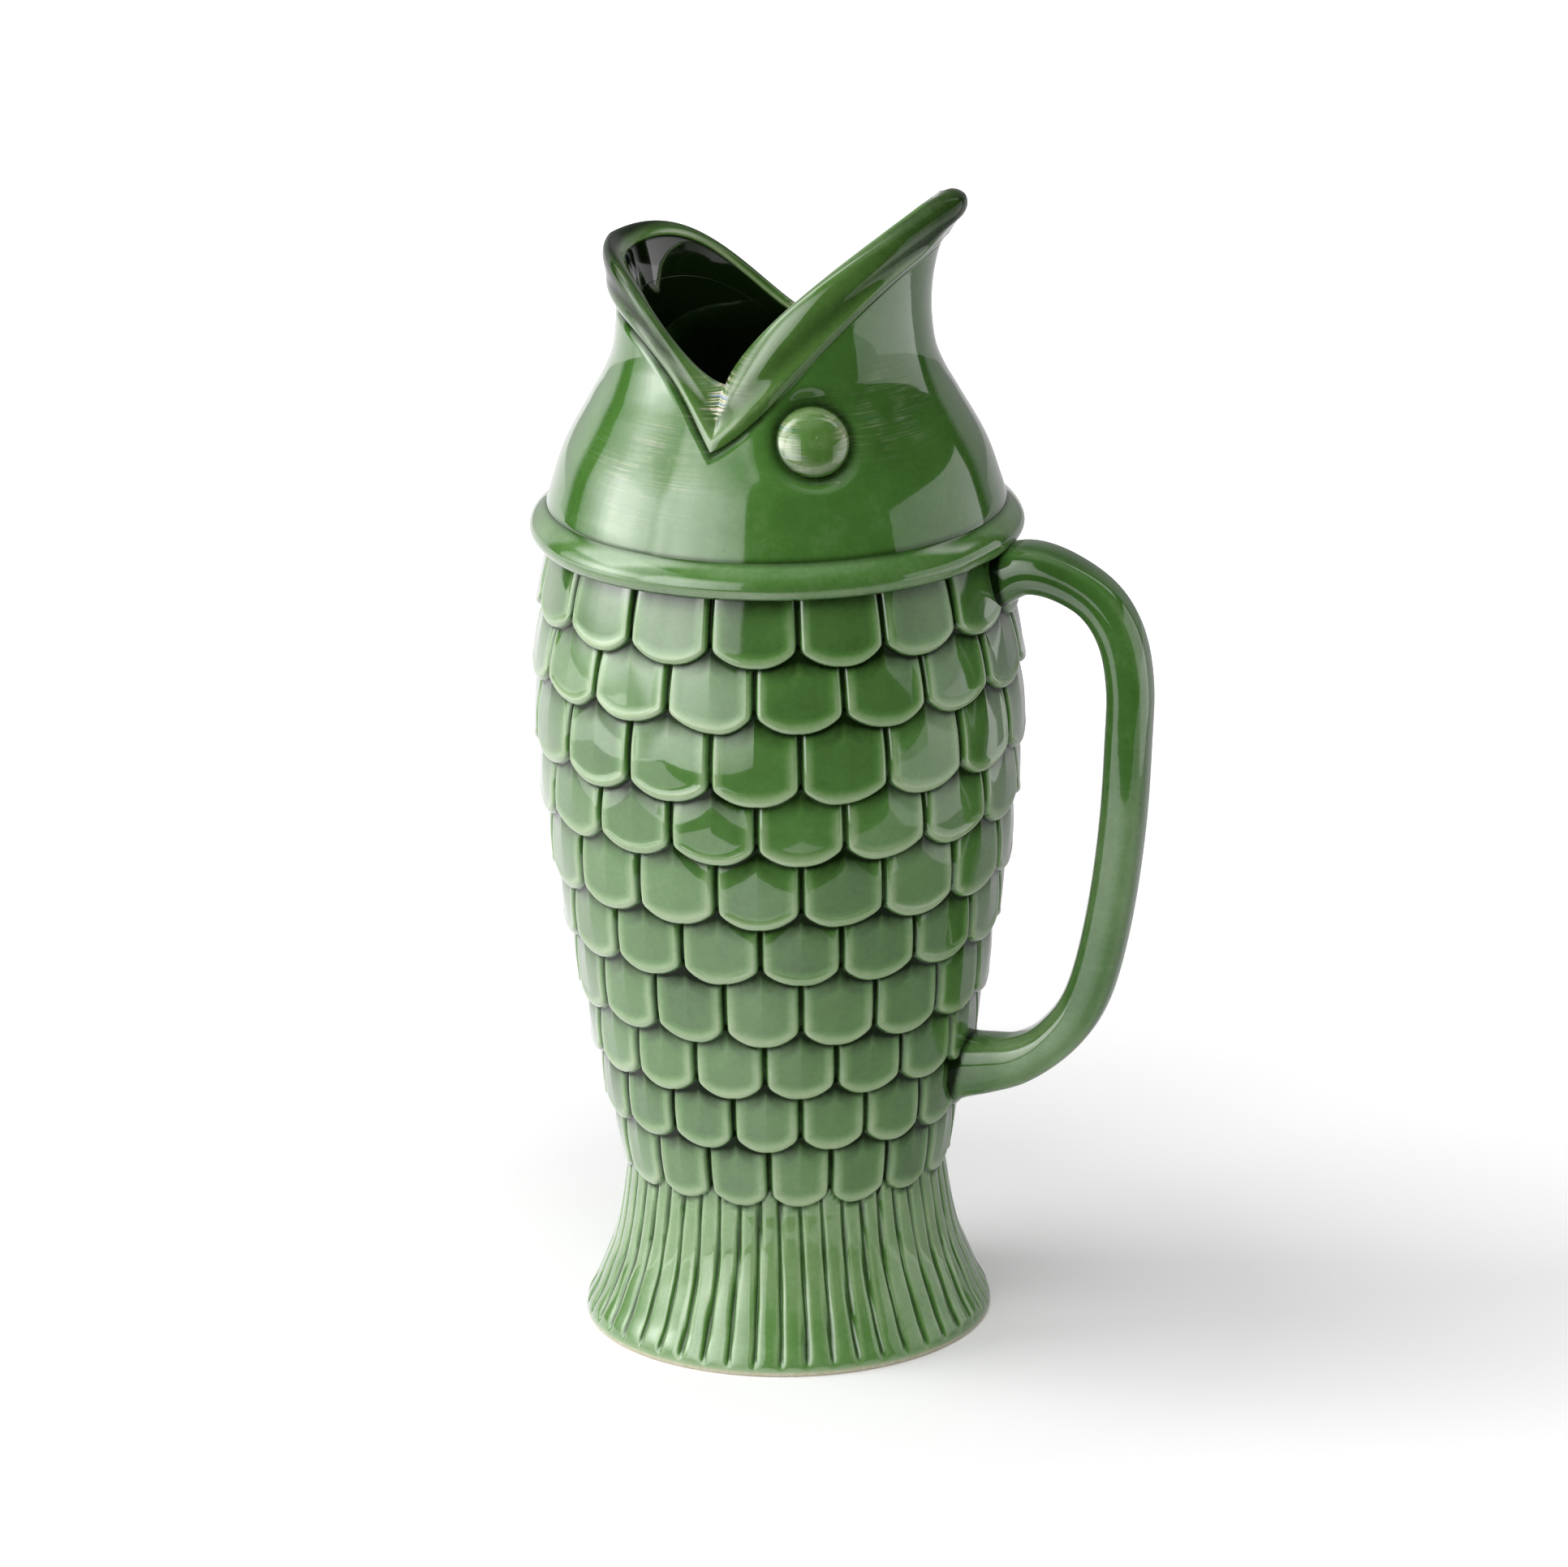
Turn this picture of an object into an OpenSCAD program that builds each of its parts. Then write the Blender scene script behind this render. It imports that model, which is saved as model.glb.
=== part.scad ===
// Fish-shaped gurgle jug in glazed earthenware: a scaled trunk on a fluted tail that flares
// into the foot, a smooth head whose open mouth is the spout, and a hollow loop handle.
// The fish looks up. Its mouth opens upwards, its low lip pours towards -X and the handle
// stands at +X. Lengths are in millimetres, angles in degrees and the table top is z = 0.
// An azimuth runs from -Y, the side seen first, towards the handle at 90 degrees.

/* [Trunk] */
// Height of the trunk from its joint with the tail to the underside of the collar band
trunk_h = 167.5; // [150:0.5:190]
// Radius over the scale rims at the widest part of the belly
belly_r = 62; // [58:0.1:68]
// Wall of the trunk, the tail and the head
wall = 5; // [3.5:0.1:6.5]
// Number of scales in each row
scale_count = 17; // [13:1:21]
// Azimuth of the first joint between two scales in the uppermost row
scale_turn = 0.9; // [0:0.1:20]
// Height that a scale's round end hangs below the corners beside it
scale_hang = 4.4; // [2.5:0.1:5]
// Depth that a scale's tucked-in top lies below the rim of the scale over it
scale_step = 1.8; // [1:0.1:2.8]
// Depth of the upright groove between two scales
groove_d = 1.1; // [0.4:0.1:1.6]
// Drop from the underside of the collar band to the corners of the first row
first_row_drop = 12.8; // [11:0.1:17]
// Height of the last row's corners above the joint with the tail
last_row_h = 7; // [5.5:0.1:8]

/* [Tail foot] */
// Height of the fluted tail
foot_h = 38.5; // [32:0.5:48]
// Radius of the foot on the table
foot_r = 51.8; // [47:0.1:60]
// Radius of the waist where the tail meets the trunk
waist_r = 40.6; // [37:0.1:45]
// Number of flutes
flute_count = 48; // [36:1:60]
// Depth of the groove between two flutes
flute_d = 0.9; // [0.3:0.1:1.4]
// Height of the plain foot edge below the flutes
foot_edge_h = 2.2; // [1:0.1:4]

/* [Foot base] */
// Thickness of the slab that closes the foot
base_t = 6; // [4:0.1:9]
// Width of the ring of foot around the slab
base_ring_w = 5.4; // [4:0.1:7]
// Clearance around the slab
base_clear = 0.1; // [0.05:0.01:0.3]

/* [Collar band] */
// Height of the collar band
collar_h = 8.7; // [7:0.1:12]
// Height of the part of the band that lies over the trunk
collar_lap = 4.5; // [3:0.1:6]
// Distance that the band stands proud of the head
collar_proud = 4.2; // [2.5:0.1:6]
// Distance from the band's underside up to its widest line
collar_low_h = 3; // [2:0.1:4]
// How quickly the band falls in above its widest line, 1 for a half round
collar_fall_power = 2.4; // [1:0.1:3]
// Angle over which the band's lower edge rounds under
collar_under = 50; // [30:1:70]
// Clearance between the band and what it is wrapped around
collar_clear = 0.05; // [0.02:0.01:0.2]

/* [Head] */
// Distance that the head's foot is set in from the widest part of the belly
head_set_in = 4.7; // [3:0.1:8]
// Height of the narrowest part of the neck above the collar band
neck_h = 47.3; // [43:0.1:54]
// Radius of the neck
neck_r = 39.1; // [35:0.1:43]

/* [Mouth] */
// Azimuth of the mouth corners, a little forward of the middle
corner_turn = -2.5; // [-10:0.1:4]
// Height of the mouth corners above the collar band
corner_h = 37.4; // [34:0.1:42]
// Inner radius at the mouth corners
corner_r = 33.7; // [31:0.1:36]
// Height of the tall lip, on the handle side, above the collar band
tall_lip_h = 81.7; // [72:0.1:90]
// Reach of the tall lip's inner edge from the axis
tall_lip_r = 43.4; // [41:0.1:50]
// Height of the low lip, which pours, above the collar band
low_lip_h = 62.7; // [58:0.1:70]
// Reach of the low lip's inner edge from the axis
low_lip_r = 37; // [35.5:0.1:42]

/* [Mouth lip] */
// Height of the lip band at the mouth corners
corner_band = 13.3; // [10:0.1:15]
// Height of the lip band at the tip of the tall lip
tall_band = 14.7; // [10:0.1:17]
// Height of the lip band at the front of the low lip
low_band = 11.3; // [9:0.1:16]
// Outward swell of the band's lower edge at the corners
corner_swell = 1.4; // [1:0.1:4]
// Outward swell of the band's lower edge at the tall lip
tall_swell = 1.2; // [0.8:0.1:5]
// Outward swell of the band's lower edge at the low lip
low_swell = 3.9; // [1:0.1:6]
// Roll of the band's upper edge at the corners
corner_roll = 2.1; // [1.5:0.1:5]
// Roll of the band's upper edge at the tall lip
tall_roll = 12.3; // [8:0.1:14]
// Roll of the band's upper edge at the low lip
low_roll = 10.2; // [7:0.1:12]
// Rise of the roll over the inner rim at the corners
corner_roll_rise = 5; // [2:0.1:6]
// Rise of the roll over the inner rim at the tip of the tall lip
tall_roll_rise = 1; // [0.5:0.1:3]
// Rise of the roll over the inner rim at the low lip
low_roll_rise = 10; // [5:0.1:11]
// Height over the groove at which the band swells out
swell_rise = 1; // [0.5:0.1:2]
// Depth of the groove under the lip band
lip_groove_d = 0.7; // [0.2:0.1:1.2]

/* [Eyes] */
// Azimuth of an eye
eye_turn = 30; // [24:0.5:40]
// Height of an eye's centre above the collar band
eye_h = 26; // [22:0.1:28]
// Radius of the eye button
eye_r = 8.8; // [6:0.1:9.5]
// Height of the eye button over its seat
eye_rise = 5.2; // [3:0.1:7]
// Depth of the seat below the head at the eye's centre
eye_sink = 1.7; // [1.3:0.1:2.4]
// Width of the groove around the button
eye_groove_w = 1.9; // [1.2:0.1:3]

/* [Handle] */
// Reach of the handle's centre line from the axis
handle_reach = 91; // [84:0.1:100]
// Height of the upper root's centre below the collar band
handle_top_drop = 7.2; // [7:0.1:9]
// Height of the lower root's centre above the joint with the tail
handle_low_h = 31; // [29:0.1:33]
// Thickness of the handle, measured in the plane of its loop
handle_t = 11.3; // [9:0.1:12.5]
// Width of the handle
handle_w = 14; // [11:0.1:16]
// Thickness of the handle at its upper root
top_root_t = 13.4; // [12:0.1:13.8]
// Thickness of the handle at its lower root
low_root_t = 16; // [14:0.1:17]
// Width of the handle at its roots
root_w = 16.5; // [14:0.1:18]
// Wall of the hollow handle
handle_wall = 2.6; // [2:0.1:3.2]
// Depth of the flat seats for the handle below the scale rims
root_sink = 0.9; // [0.6:0.1:1.4]

/* [Hidden] */

glaze = [0.30, 0.45, 0.27];
dark_glaze = [0.22, 0.37, 0.20];
pale_glaze = [0.42, 0.56, 0.37];
bare_clay = [0.86, 0.80, 0.72];

// Outlines, each a list of [height share, radius share]. The tail and trunk run from the
// waist, 0, to the foot or belly, 1, and the head from the neck, 0, to the collar band, 1.
foot_profile_shares = [[0, 1], [0.1, 0.935], [0.21, 0.735], [0.36, 0.525], [0.52, 0.31],
    [0.73, 0.14], [1, 0]];
trunk_profile_shares = [[0, 0], [0.12, 0.237], [0.3, 0.523], [0.5, 0.812], [0.6, 0.921],
    [0.7, 0.986], [0.78, 1], [0.9, 0.936], [1, 0.85]];
head_profile_shares = [[0, 1], [0.08, 0.945], [0.31, 0.74], [0.57, 0.37], [0.7, 0.184],
    [0.83, 0.054], [1, 0], [1.13, 0.005], [1.26, 0.05], [1.39, 0.14], [1.75, 0.55]];
// Places of the rows' corners, from the first row to the last
row_shares = [0, 0.11, 0.238, 0.345, 0.462, 0.569, 0.685, 0.787, 0.89, 1];
// Places of the columns of points across one scale
scale_column_shares = [0, 0.06, 0.27, 0.5, 0.73, 0.94];
// Places of the columns of points across one flute
flute_column_shares = [0, 0.18, 0.82];
// Places of the rings of points up the tail, and down its inside
foot_ring_shares = [0.21, 0.4, 0.65];
foot_inner_shares = [0.6, 0.3];
// Places of the rings of points down the inside of the trunk above the port
inner_ring_shares = [0.76, 0.48];
// Centre line of the handle, from the lower root to the upper one: each pair is a share of
// the reach beyond the lower root and a share of the height between the two roots
handle_path_shares = [[0, 0], [0.18, 0.008], [0.366, 0.024], [0.546, 0.065], [0.706, 0.133],
    [0.807, 0.221], [0.897, 0.365], [0.96, 0.53], [0.99, 0.685], [1, 0.8], [0.952, 0.895],
    [0.83, 0.964], [0.63, 1.007], [0.432, 1.021]];

// Shape of a scale's round end, of the flat roots and of the handle's section
scale_power = 2.4;
section_power = 3;
// Rises of the mouth's edge and of the groove under its band, as the two powers of rise()
tall_crest_powers = [0.73, 1.22];
low_crest_powers = [1.7, 4.3];
tall_groove_powers = [1.25, 2];
low_groove_powers = [1, 3.2];
tall_reach_power = 2.7;
// Share of a half of the tall lip over which its tip is rounded
tip_round_share = 0.06;
low_reach_power = 0.6;

// Heights above the table
trunk_z = foot_h;
collar_z = trunk_z + trunk_h;
seam_z = collar_z + collar_lap;
head_z = collar_z + collar_h;

// Radius of the head inside the collar band
head_r = belly_r - head_set_in;

// Counts of points
scale_rows = len(row_shares);
scale_columns = len(scale_column_shares);
trunk_columns = scale_count * scale_columns;
tall_columns = 44;
low_columns = 36;
head_rings = 12;
head_inner_rings = 4;
lip_rings = 6;
lip_inner_rings = 3;
section_points = 12;
rings_per_stretch = 2;

scale_pitch = 360 / scale_count;
scale_tuck_gap = scale_step * 0.3;
row_edge_soft = groove_d * 0.15;

// Row of scales that the air port opens in, counted from 0 at the top
port_row = scale_rows - 2;
port_columns = 3;

function clamp01(x) = min(max(x, 0), 1);
function lerp(a, b, s) = a + (b - a) * s;
function ring_point(r, turn, z) = [r * sin(turn), -r * cos(turn), z];

// A smooth curve through [place, value] pairs
function curve_slope(t, i) =
    let (a = max(i - 1, 0), b = min(i + 1, len(t) - 1))
    (t[b][1] - t[a][1]) / (t[b][0] - t[a][0]);
function curve(t, x, i = 0) =
    i < len(t) - 2 && x > t[i + 1][0] ? curve(t, x, i + 1) :
    let (
        span = t[i + 1][0] - t[i][0],
        s = clamp01((x - t[i][0]) / span),
        a = curve_slope(t, i) * span,
        b = curve_slope(t, i + 1) * span,
        rise = t[i + 1][1] - t[i][1]
    )
    t[i][1] + a * s + (3 * rise - 2 * a - b) * s ^ 2 + (a + b - 2 * rise) * s ^ 3;

// Triangles between rings of points, where the last ring joins the first. Points of a ring
// run with the azimuth, and rings run up the outside and down the inside. The window is
// [outer ring, inner ring, first column, columns], or nothing.
function in_window(w, i, j) =
    len(w) > 0 && (i == w[0] || i == w[1]) && j >= w[2] && j < w[2] + w[3];
function ring_faces(rings, columns, w = []) = [
    for (i = [0 : rings - 1], j = [0 : columns - 1])
        if (!in_window(w, i, j))
            let (
                a = i * columns + j,
                b = (i + 1) % rings * columns + j,
                c = (i + 1) % rings * columns + (j + 1) % columns,
                d = i * columns + (j + 1) % columns
            )
            each [[a, b, c], [a, c, d]]
];
// Walls of the window from the outer rings to the inner ones
function window_faces(columns, w) =
    let (
        low_out = w[0] * columns,
        top_out = (w[0] + 1) * columns,
        top_in = w[1] * columns,
        low_in = (w[1] + 1) * columns,
        first = w[2],
        last = w[2] + w[3]
    )
    concat(
        [for (j = [first : last - 1]) each quad(low_out + j, low_in + j, low_in + j + 1, low_out + j + 1)],
        [for (j = [first : last - 1]) each quad(top_out + j, top_out + j + 1, top_in + j + 1, top_in + j)],
        quad(low_out + first, top_out + first, top_in + first, low_in + first),
        quad(low_out + last, low_in + last, top_in + last, top_out + last)
    );
function quad(a, b, c, d) = [[a, b, c], [a, c, d]];

module ring_solid(rings, w = []) {
    columns = len(rings[0]);
    points = [for (ring = rings) each ring];
    walls = len(w) > 0 ? window_faces(columns, w) : [];
    polyhedron(points = points, faces = concat(ring_faces(len(rings), columns, w), walls));
}

// Outlines of the three bodies over rims and flutes
function foot_out(z) = waist_r + (foot_r - waist_r) * curve(foot_profile_shares, z / foot_h);
function trunk_out(z) =
    waist_r + (belly_r - waist_r) * curve(trunk_profile_shares, (z - trunk_z) / trunk_h);
function head_out(z) =
    neck_r + (head_r - neck_r) * curve(head_profile_shares, (z - head_z) / neck_h);

// Scales: corner height of a row, first joint of a row and height of a row's lower edge
function row_z(k) =
    lerp(collar_z - first_row_drop, trunk_z + last_row_h, row_shares[k]);
function row_turn(k) = scale_turn + (k % 2) * scale_pitch / 2;
function scale_round(p) = 1 - abs(2 * p - 1) ^ scale_power;
function scale_place(k, turn) =
    let (s = (turn - row_turn(k)) / scale_pitch) s - floor(s);
function row_edge(k, turn) = row_z(k) - scale_hang * scale_round(scale_place(k, turn));

// Azimuth and place across its scale of a point of row k. Odd rows are shifted by half a
// scale, and so are their columns.
function column_shift(k, j) = j - (k % 2) * scale_columns / 2;
function column_share(k, j) =
    let (c = column_shift(k, j) + scale_columns)
    scale_column_shares[c % scale_columns];
function column_turn(k, j) =
    row_turn(k) + scale_pitch * (floor(column_shift(k, j) / scale_columns) + column_share(k, j));

// Flat seats for the handle's roots: a seat leans with the outline between its two ends
top_root_z = collar_z - handle_top_drop;
low_root_z = trunk_z + handle_low_h;
seat_half_w = root_w / 2 + groove_d;
seat_margin = scale_hang + scale_step / 2;
function root_t(root_z) = root_z == low_root_z ? low_root_t : top_root_t;
function seat_x(root_z, z) =
    let (t = root_t(root_z), a = root_z - t / 2)
    lerp(trunk_out(a), trunk_out(a + t), (z - a) / t) - root_sink;
function near_root(root_z, turn, z) =
    abs(z - root_z) < root_t(root_z) / 2 + seat_margin
    && sin(turn) > 0 && abs(trunk_out(z) * cos(turn)) < seat_half_w;
function seated(r, turn, z) =
    near_root(top_root_z, turn, z) ? seat_x(top_root_z, z) / sin(turn) :
    near_root(low_root_z, turn, z) ? seat_x(low_root_z, z) / sin(turn) : r;
function scale_point(r, turn, z) = ring_point(seated(r, turn, z), turn, z);

// Rings of a row: its raised lower rim, its tucked-in top and a place between the two
function rim_ring(k) = [
    for (j = [0 : trunk_columns - 1])
        let (
            turn = column_turn(k, j),
            z = row_edge(k, turn) + scale_tuck_gap,
            share = column_share(k, j),
            low = share == 0 ? groove_d : abs(share - 0.5) > 0.4 ? row_edge_soft : 0
        )
        scale_point(trunk_out(z) - low, turn, z)
];
function tuck_ring(k) = [
    for (j = [0 : trunk_columns - 1])
        let (
            turn = column_turn(k, j),
            z = k == 0 ? collar_z : row_edge(k - 1, turn) - scale_tuck_gap,
            depth = k == 0 ? row_edge_soft : scale_step,
            low = column_share(k, j) == 0 ? groove_d * 0.6 : 0
        )
        scale_point(trunk_out(z) - depth - low, turn, z)
];
function port_low_ring(k) = [
    for (j = [0 : trunk_columns - 1])
        let (
            turn = column_turn(k, j),
            z = port_low_z,
            low = scale_step / 2 + (column_share(k, j) == 0 ? groove_d : 0)
        )
        scale_point(trunk_out(z) - low, turn, z)
];

// The air port joins the bore of the handle's lower root
port_low_z = max(low_root_z - low_root_t / 2 + handle_wall, row_z(port_row) + scale_step);
port_top_z = row_z(port_row - 1) - scale_hang / 2;
port_first = [for (j = [0 : trunk_columns - 1])
    if (trunk_out(low_root_z) * cos(column_turn(port_row, j)) < root_w / 2 - handle_wall
        && column_turn(port_row, j) < 90 + scale_pitch) j][0];

function smooth_ring(r, z) = [
    for (j = [0 : trunk_columns - 1]) ring_point(r, column_turn(port_row, j), z)
];
function tail_ring() = [
    for (j = [0 : trunk_columns - 1])
        let (turn = column_turn(scale_rows - 1, j), z = row_edge(scale_rows - 1, turn) - scale_tuck_gap)
        ring_point(waist_r, turn, z)
];

module trunk() {
    rows = [for (k = [scale_rows - 1 : -1 : 0])
        each k == port_row ? [rim_ring(k), port_low_ring(k), tuck_ring(k)] : [rim_ring(k), tuck_ring(k)]];
    outer = concat([smooth_ring(waist_r, trunk_z), tail_ring()], rows,
        [smooth_ring(head_r, collar_z), smooth_ring(head_r, seam_z)]);
    above_port = [for (s = inner_ring_shares)
        let (z = lerp(port_top_z, collar_z, s)) smooth_ring(trunk_out(z) - wall, z)];
    inner = concat([smooth_ring(head_r - wall, seam_z)], above_port,
        [for (z = [port_top_z, port_low_z]) smooth_ring(trunk_out(z) - wall - scale_step / 2, z)],
        [smooth_ring(waist_r - wall, trunk_z)]);
    // The port lies between the port ring and the tucked-in top of its row
    port_out = 2 + 2 * (scale_rows - 1 - port_row) + 1;
    port_in = len(outer) + 1 + len(inner_ring_shares);
    color(glaze)
        ring_solid(concat(outer, inner), [port_out, port_in, port_first, port_columns]);
}

// Mouth: a column's azimuth is folded to -90 at the low lip, 90 at the tall lip
function fold(turn) = turn <= 90 ? turn : turn <= 270 ? 180 - turn : turn - 360;
function is_tall(b) = b >= corner_turn;
function mouth_share(b) =
    clamp01(is_tall(b) ? (b - corner_turn) / (90 - corner_turn) : (corner_turn - b) / (90 + corner_turn));
function tip_share(s) = 1 + tip_round_share - norm([1 - s, tip_round_share]);
function rise(s, powers) = 1 - (1 - s ^ powers[0]) ^ powers[1];
function crest_z(b) = head_z + corner_h + (is_tall(b)
    ? (tall_lip_h - corner_h) * rise(mouth_share(b), tall_crest_powers)
    : (low_lip_h - corner_h) * rise(mouth_share(b), low_crest_powers));
function crest_r(b) = corner_r + (is_tall(b)
    ? (tall_lip_r - corner_r) * tip_share(mouth_share(b)) ^ tall_reach_power
    : (low_lip_r - corner_r) * mouth_share(b) ^ low_reach_power);
function band_z(b) =
    let (corner = corner_h - corner_band)
    head_z + corner + (is_tall(b)
        ? (tall_lip_h - tall_band - corner) * rise(mouth_share(b), tall_groove_powers)
        : (low_lip_h - low_band - corner) * rise(mouth_share(b), low_groove_powers));
function band_r(b) = head_out(band_z(b)) - lip_groove_d;

// Inside of the head: the outside less the wall, eased out or in to meet the rim
function inside_r(b, z) =
    let (
        from = head_z + corner_h - corner_band,
        s = clamp01((z - from) / (crest_z(b) - from)),
        offset = crest_r(b) - (head_out(crest_z(b)) - wall)
    )
    head_out(z) - wall + offset * s ^ 2;

// Columns of the head and the lip, closest at the corners and the tall tip
mouth_turns = concat(
    [for (j = [0 : tall_columns - 1]) corner_turn + (180 - 2 * corner_turn) * j / tall_columns],
    [for (j = [0 : low_columns - 1]) 180 - corner_turn + (180 + 2 * corner_turn) * j / low_columns]
);
function head_ring(s) = [
    for (turn = mouth_turns)
        let (z = lerp(head_z, band_z(fold(turn)), s)) in_socket(ring_point(head_out(z), turn, z))
];
function band_ring() = [
    for (turn = mouth_turns) ring_point(band_r(fold(turn)), turn, band_z(fold(turn)))
];
function inner_ring(a, b, s) = [
    for (turn = mouth_turns)
        let (f = fold(turn), z = lerp(mouth_level(a, f), mouth_level(b, f), s))
        ring_point(inside_r(f, z), turn, z)
];
// Levels on the inside: 0 the seam with the trunk, 1 the groove, 2 the crest
function mouth_level(i, b) = [seam_z, band_z(b), crest_z(b)][i];

// Eyes: centre of the eye on the head, its outward direction and the flat seat under it
eye_z = head_z + eye_h;
eye_lean = atan((head_out(eye_z - eye_r / 2) - head_out(eye_z + eye_r / 2)) / eye_r);
eye_dir = [cos(eye_lean) * sin(eye_turn), -cos(eye_lean) * cos(eye_turn), sin(eye_lean)];
eye_place = ring_point(head_out(eye_z), eye_turn, eye_z);
socket_r = eye_r + eye_groove_w;
// Points near an eye are pressed back to its seat, and those at the groove's edge less so
function in_socket(p) =
    let (
        side = p[1] > 0 ? -1 : 1,
        q = [p[0], p[1] * side, p[2]] - eye_place,
        h = q * eye_dir,
        off = norm(q - h * eye_dir),
        floor_h = -eye_sink + max(off - socket_r, 0),
        pressed = q + min(floor_h - h, 0) * eye_dir + eye_place
    )
    off > socket_r + eye_sink ? p : [pressed[0], pressed[1] * side, pressed[2]];

module head() {
    outer = concat(
        [[for (turn = mouth_turns) ring_point(head_r, turn, seam_z)]],
        [for (i = [0 : head_rings - 1]) head_ring(i / head_rings)],
        [band_ring()]
    );
    inner = [for (i = [head_inner_rings : -1 : 0]) inner_ring(0, 1, i / head_inner_rings)];
    color(glaze) ring_solid(concat(outer, inner));
}

// A point of the lip's outer section, from the groove at s = 0 over the roll to the crest
function lip_point(turn, s) =
    let (
        b = fold(turn),
        m = mouth_share(b),
        start = [band_r(b), band_z(b)],
        end = [crest_r(b), crest_z(b)],
        swell = lerp(corner_swell, is_tall(b) ? tall_swell : low_swell, m),
        roll = lerp(corner_roll, is_tall(b) ? tall_roll : low_roll, m),
        up = lerp(corner_roll_rise, is_tall(b) ? tall_roll_rise : low_roll_rise, sqrt(m)),
        p1 = start + [swell, swell_rise],
        p2 = end + [roll, up],
        q = start * (1 - s) ^ 3 + p1 * 3 * s * (1 - s) ^ 2 + p2 * 3 * s ^ 2 * (1 - s) + end * s ^ 3
    )
    ring_point(q[0], turn, q[1]);

module mouth_lip() {
    outer = [for (i = [0 : lip_rings]) [for (turn = mouth_turns) lip_point(turn, i / lip_rings)]];
    inner = [for (i = [lip_inner_rings - 1 : -1 : 0]) inner_ring(1, 2, i / lip_inner_rings)];
    color(pale_glaze) ring_solid(concat(outer, inner));
}

module collar_band() {
    seat = head_r + collar_clear;
    wide_z = collar_z + collar_low_h;
    arc_steps = 5;
    low = [for (i = [0 : arc_steps]) let (a = -collar_under * (1 - i / arc_steps))
        [seat + collar_proud * cos(a), wide_z + collar_low_h * sin(a) / sin(collar_under)]];
    high = [for (i = [1 : 2 * arc_steps]) let (a = 90 * i / (2 * arc_steps))
        [seat + collar_proud * cos(a) ^ collar_fall_power, wide_z + (collar_h - collar_low_h) * sin(a)]];
    color(dark_glaze)
        rotate_extrude($fn = 96) polygon(concat([[seat, collar_z]], low, high));
}

// The tail: a ring of flutes, each with a groove before it
function flute_ring(z, depth) = [
    for (i = [0 : flute_count - 1], s = flute_column_shares)
        ring_point(foot_out(z) - (s == 0 ? depth : 0), 360 * (i + s) / flute_count, z)
];
function plain_ring(r, z) = [
    for (i = [0 : flute_count - 1], s = flute_column_shares) ring_point(r, 360 * (i + s) / flute_count, z)
];
base_r = foot_r - base_ring_w;

module tail_foot() {
    outer = concat(
        [plain_ring(foot_r, 0), flute_ring(foot_edge_h, flute_d)],
        [for (s = foot_ring_shares) flute_ring(foot_h * s, flute_d)],
        [plain_ring(waist_r, foot_h)]
    );
    inner = concat(
        [plain_ring(waist_r - wall, foot_h)],
        [for (s = foot_inner_shares)
            let (z = lerp(base_t, foot_h, s)) plain_ring(foot_out(z) - wall - flute_d / 2, z)],
        [plain_ring(foot_out(base_t) - wall - flute_d, base_t), plain_ring(base_r, base_t), plain_ring(base_r, 0)]
    );
    color(glaze) ring_solid(concat(outer, inner));
}

module foot_base() {
    color(bare_clay) cylinder(r = base_r - base_clear, h = base_t, $fn = 96);
}

// Handle: its centre line and, at each ring, the section turned square to it
low_root_x = seat_x(low_root_z, low_root_z);
top_root_x = seat_x(top_root_z, top_root_z);
path_last = len(handle_path_shares);
function path_place(i) = i == path_last
    ? [top_root_x, top_root_z]
    : [lerp(low_root_x, handle_reach, handle_path_shares[i][0]),
        lerp(low_root_z, top_root_z, handle_path_shares[i][1])];
path_x = [for (i = [0 : path_last]) [i, path_place(i)[0]]];
path_z = [for (i = [0 : path_last]) [i, path_place(i)[1]]];
function path_at(t) = [curve(path_x, t), curve(path_z, t)];
function path_normal(t) =
    let (
        small = 0.05,
        d = path_at(min(t + small, path_last)) - path_at(max(t - small, 0)),
        u = d / norm(d)
    )
    [-u[1], u[0]];
// Flare of the section towards the two roots, which takes up two stretches of the path
function flare(t) =
    let (s = clamp01(1 - min(t, path_last - t) / 3)) s ^ 2 * (3 - 2 * s);
function section_share(a) = [sign(cos(a)) * abs(cos(a)) ^ (2 / section_power),
    sign(sin(a)) * abs(sin(a)) ^ (2 / section_power)];
function handle_ring(t, inset) = [
    for (i = [0 : section_points - 1])
        let (
            q = section_share(360 * i / section_points),
            root = t < path_last / 2 ? low_root_z : top_root_z,
            thick = lerp(handle_t, root_t(root), flare(t)) / 2 - inset,
            wide = lerp(handle_w, root_w, flare(t)) / 2 - inset,
            c = path_at(t) + path_normal(t) * thick * q[0],
            z = root + thick * q[0] * (t == 0 ? 1 : -1)
        )
        t == 0 || t == path_last
            ? [seat_x(root, z), wide * q[1], z]
            : [c[0], wide * q[1], c[1]]
];

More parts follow.
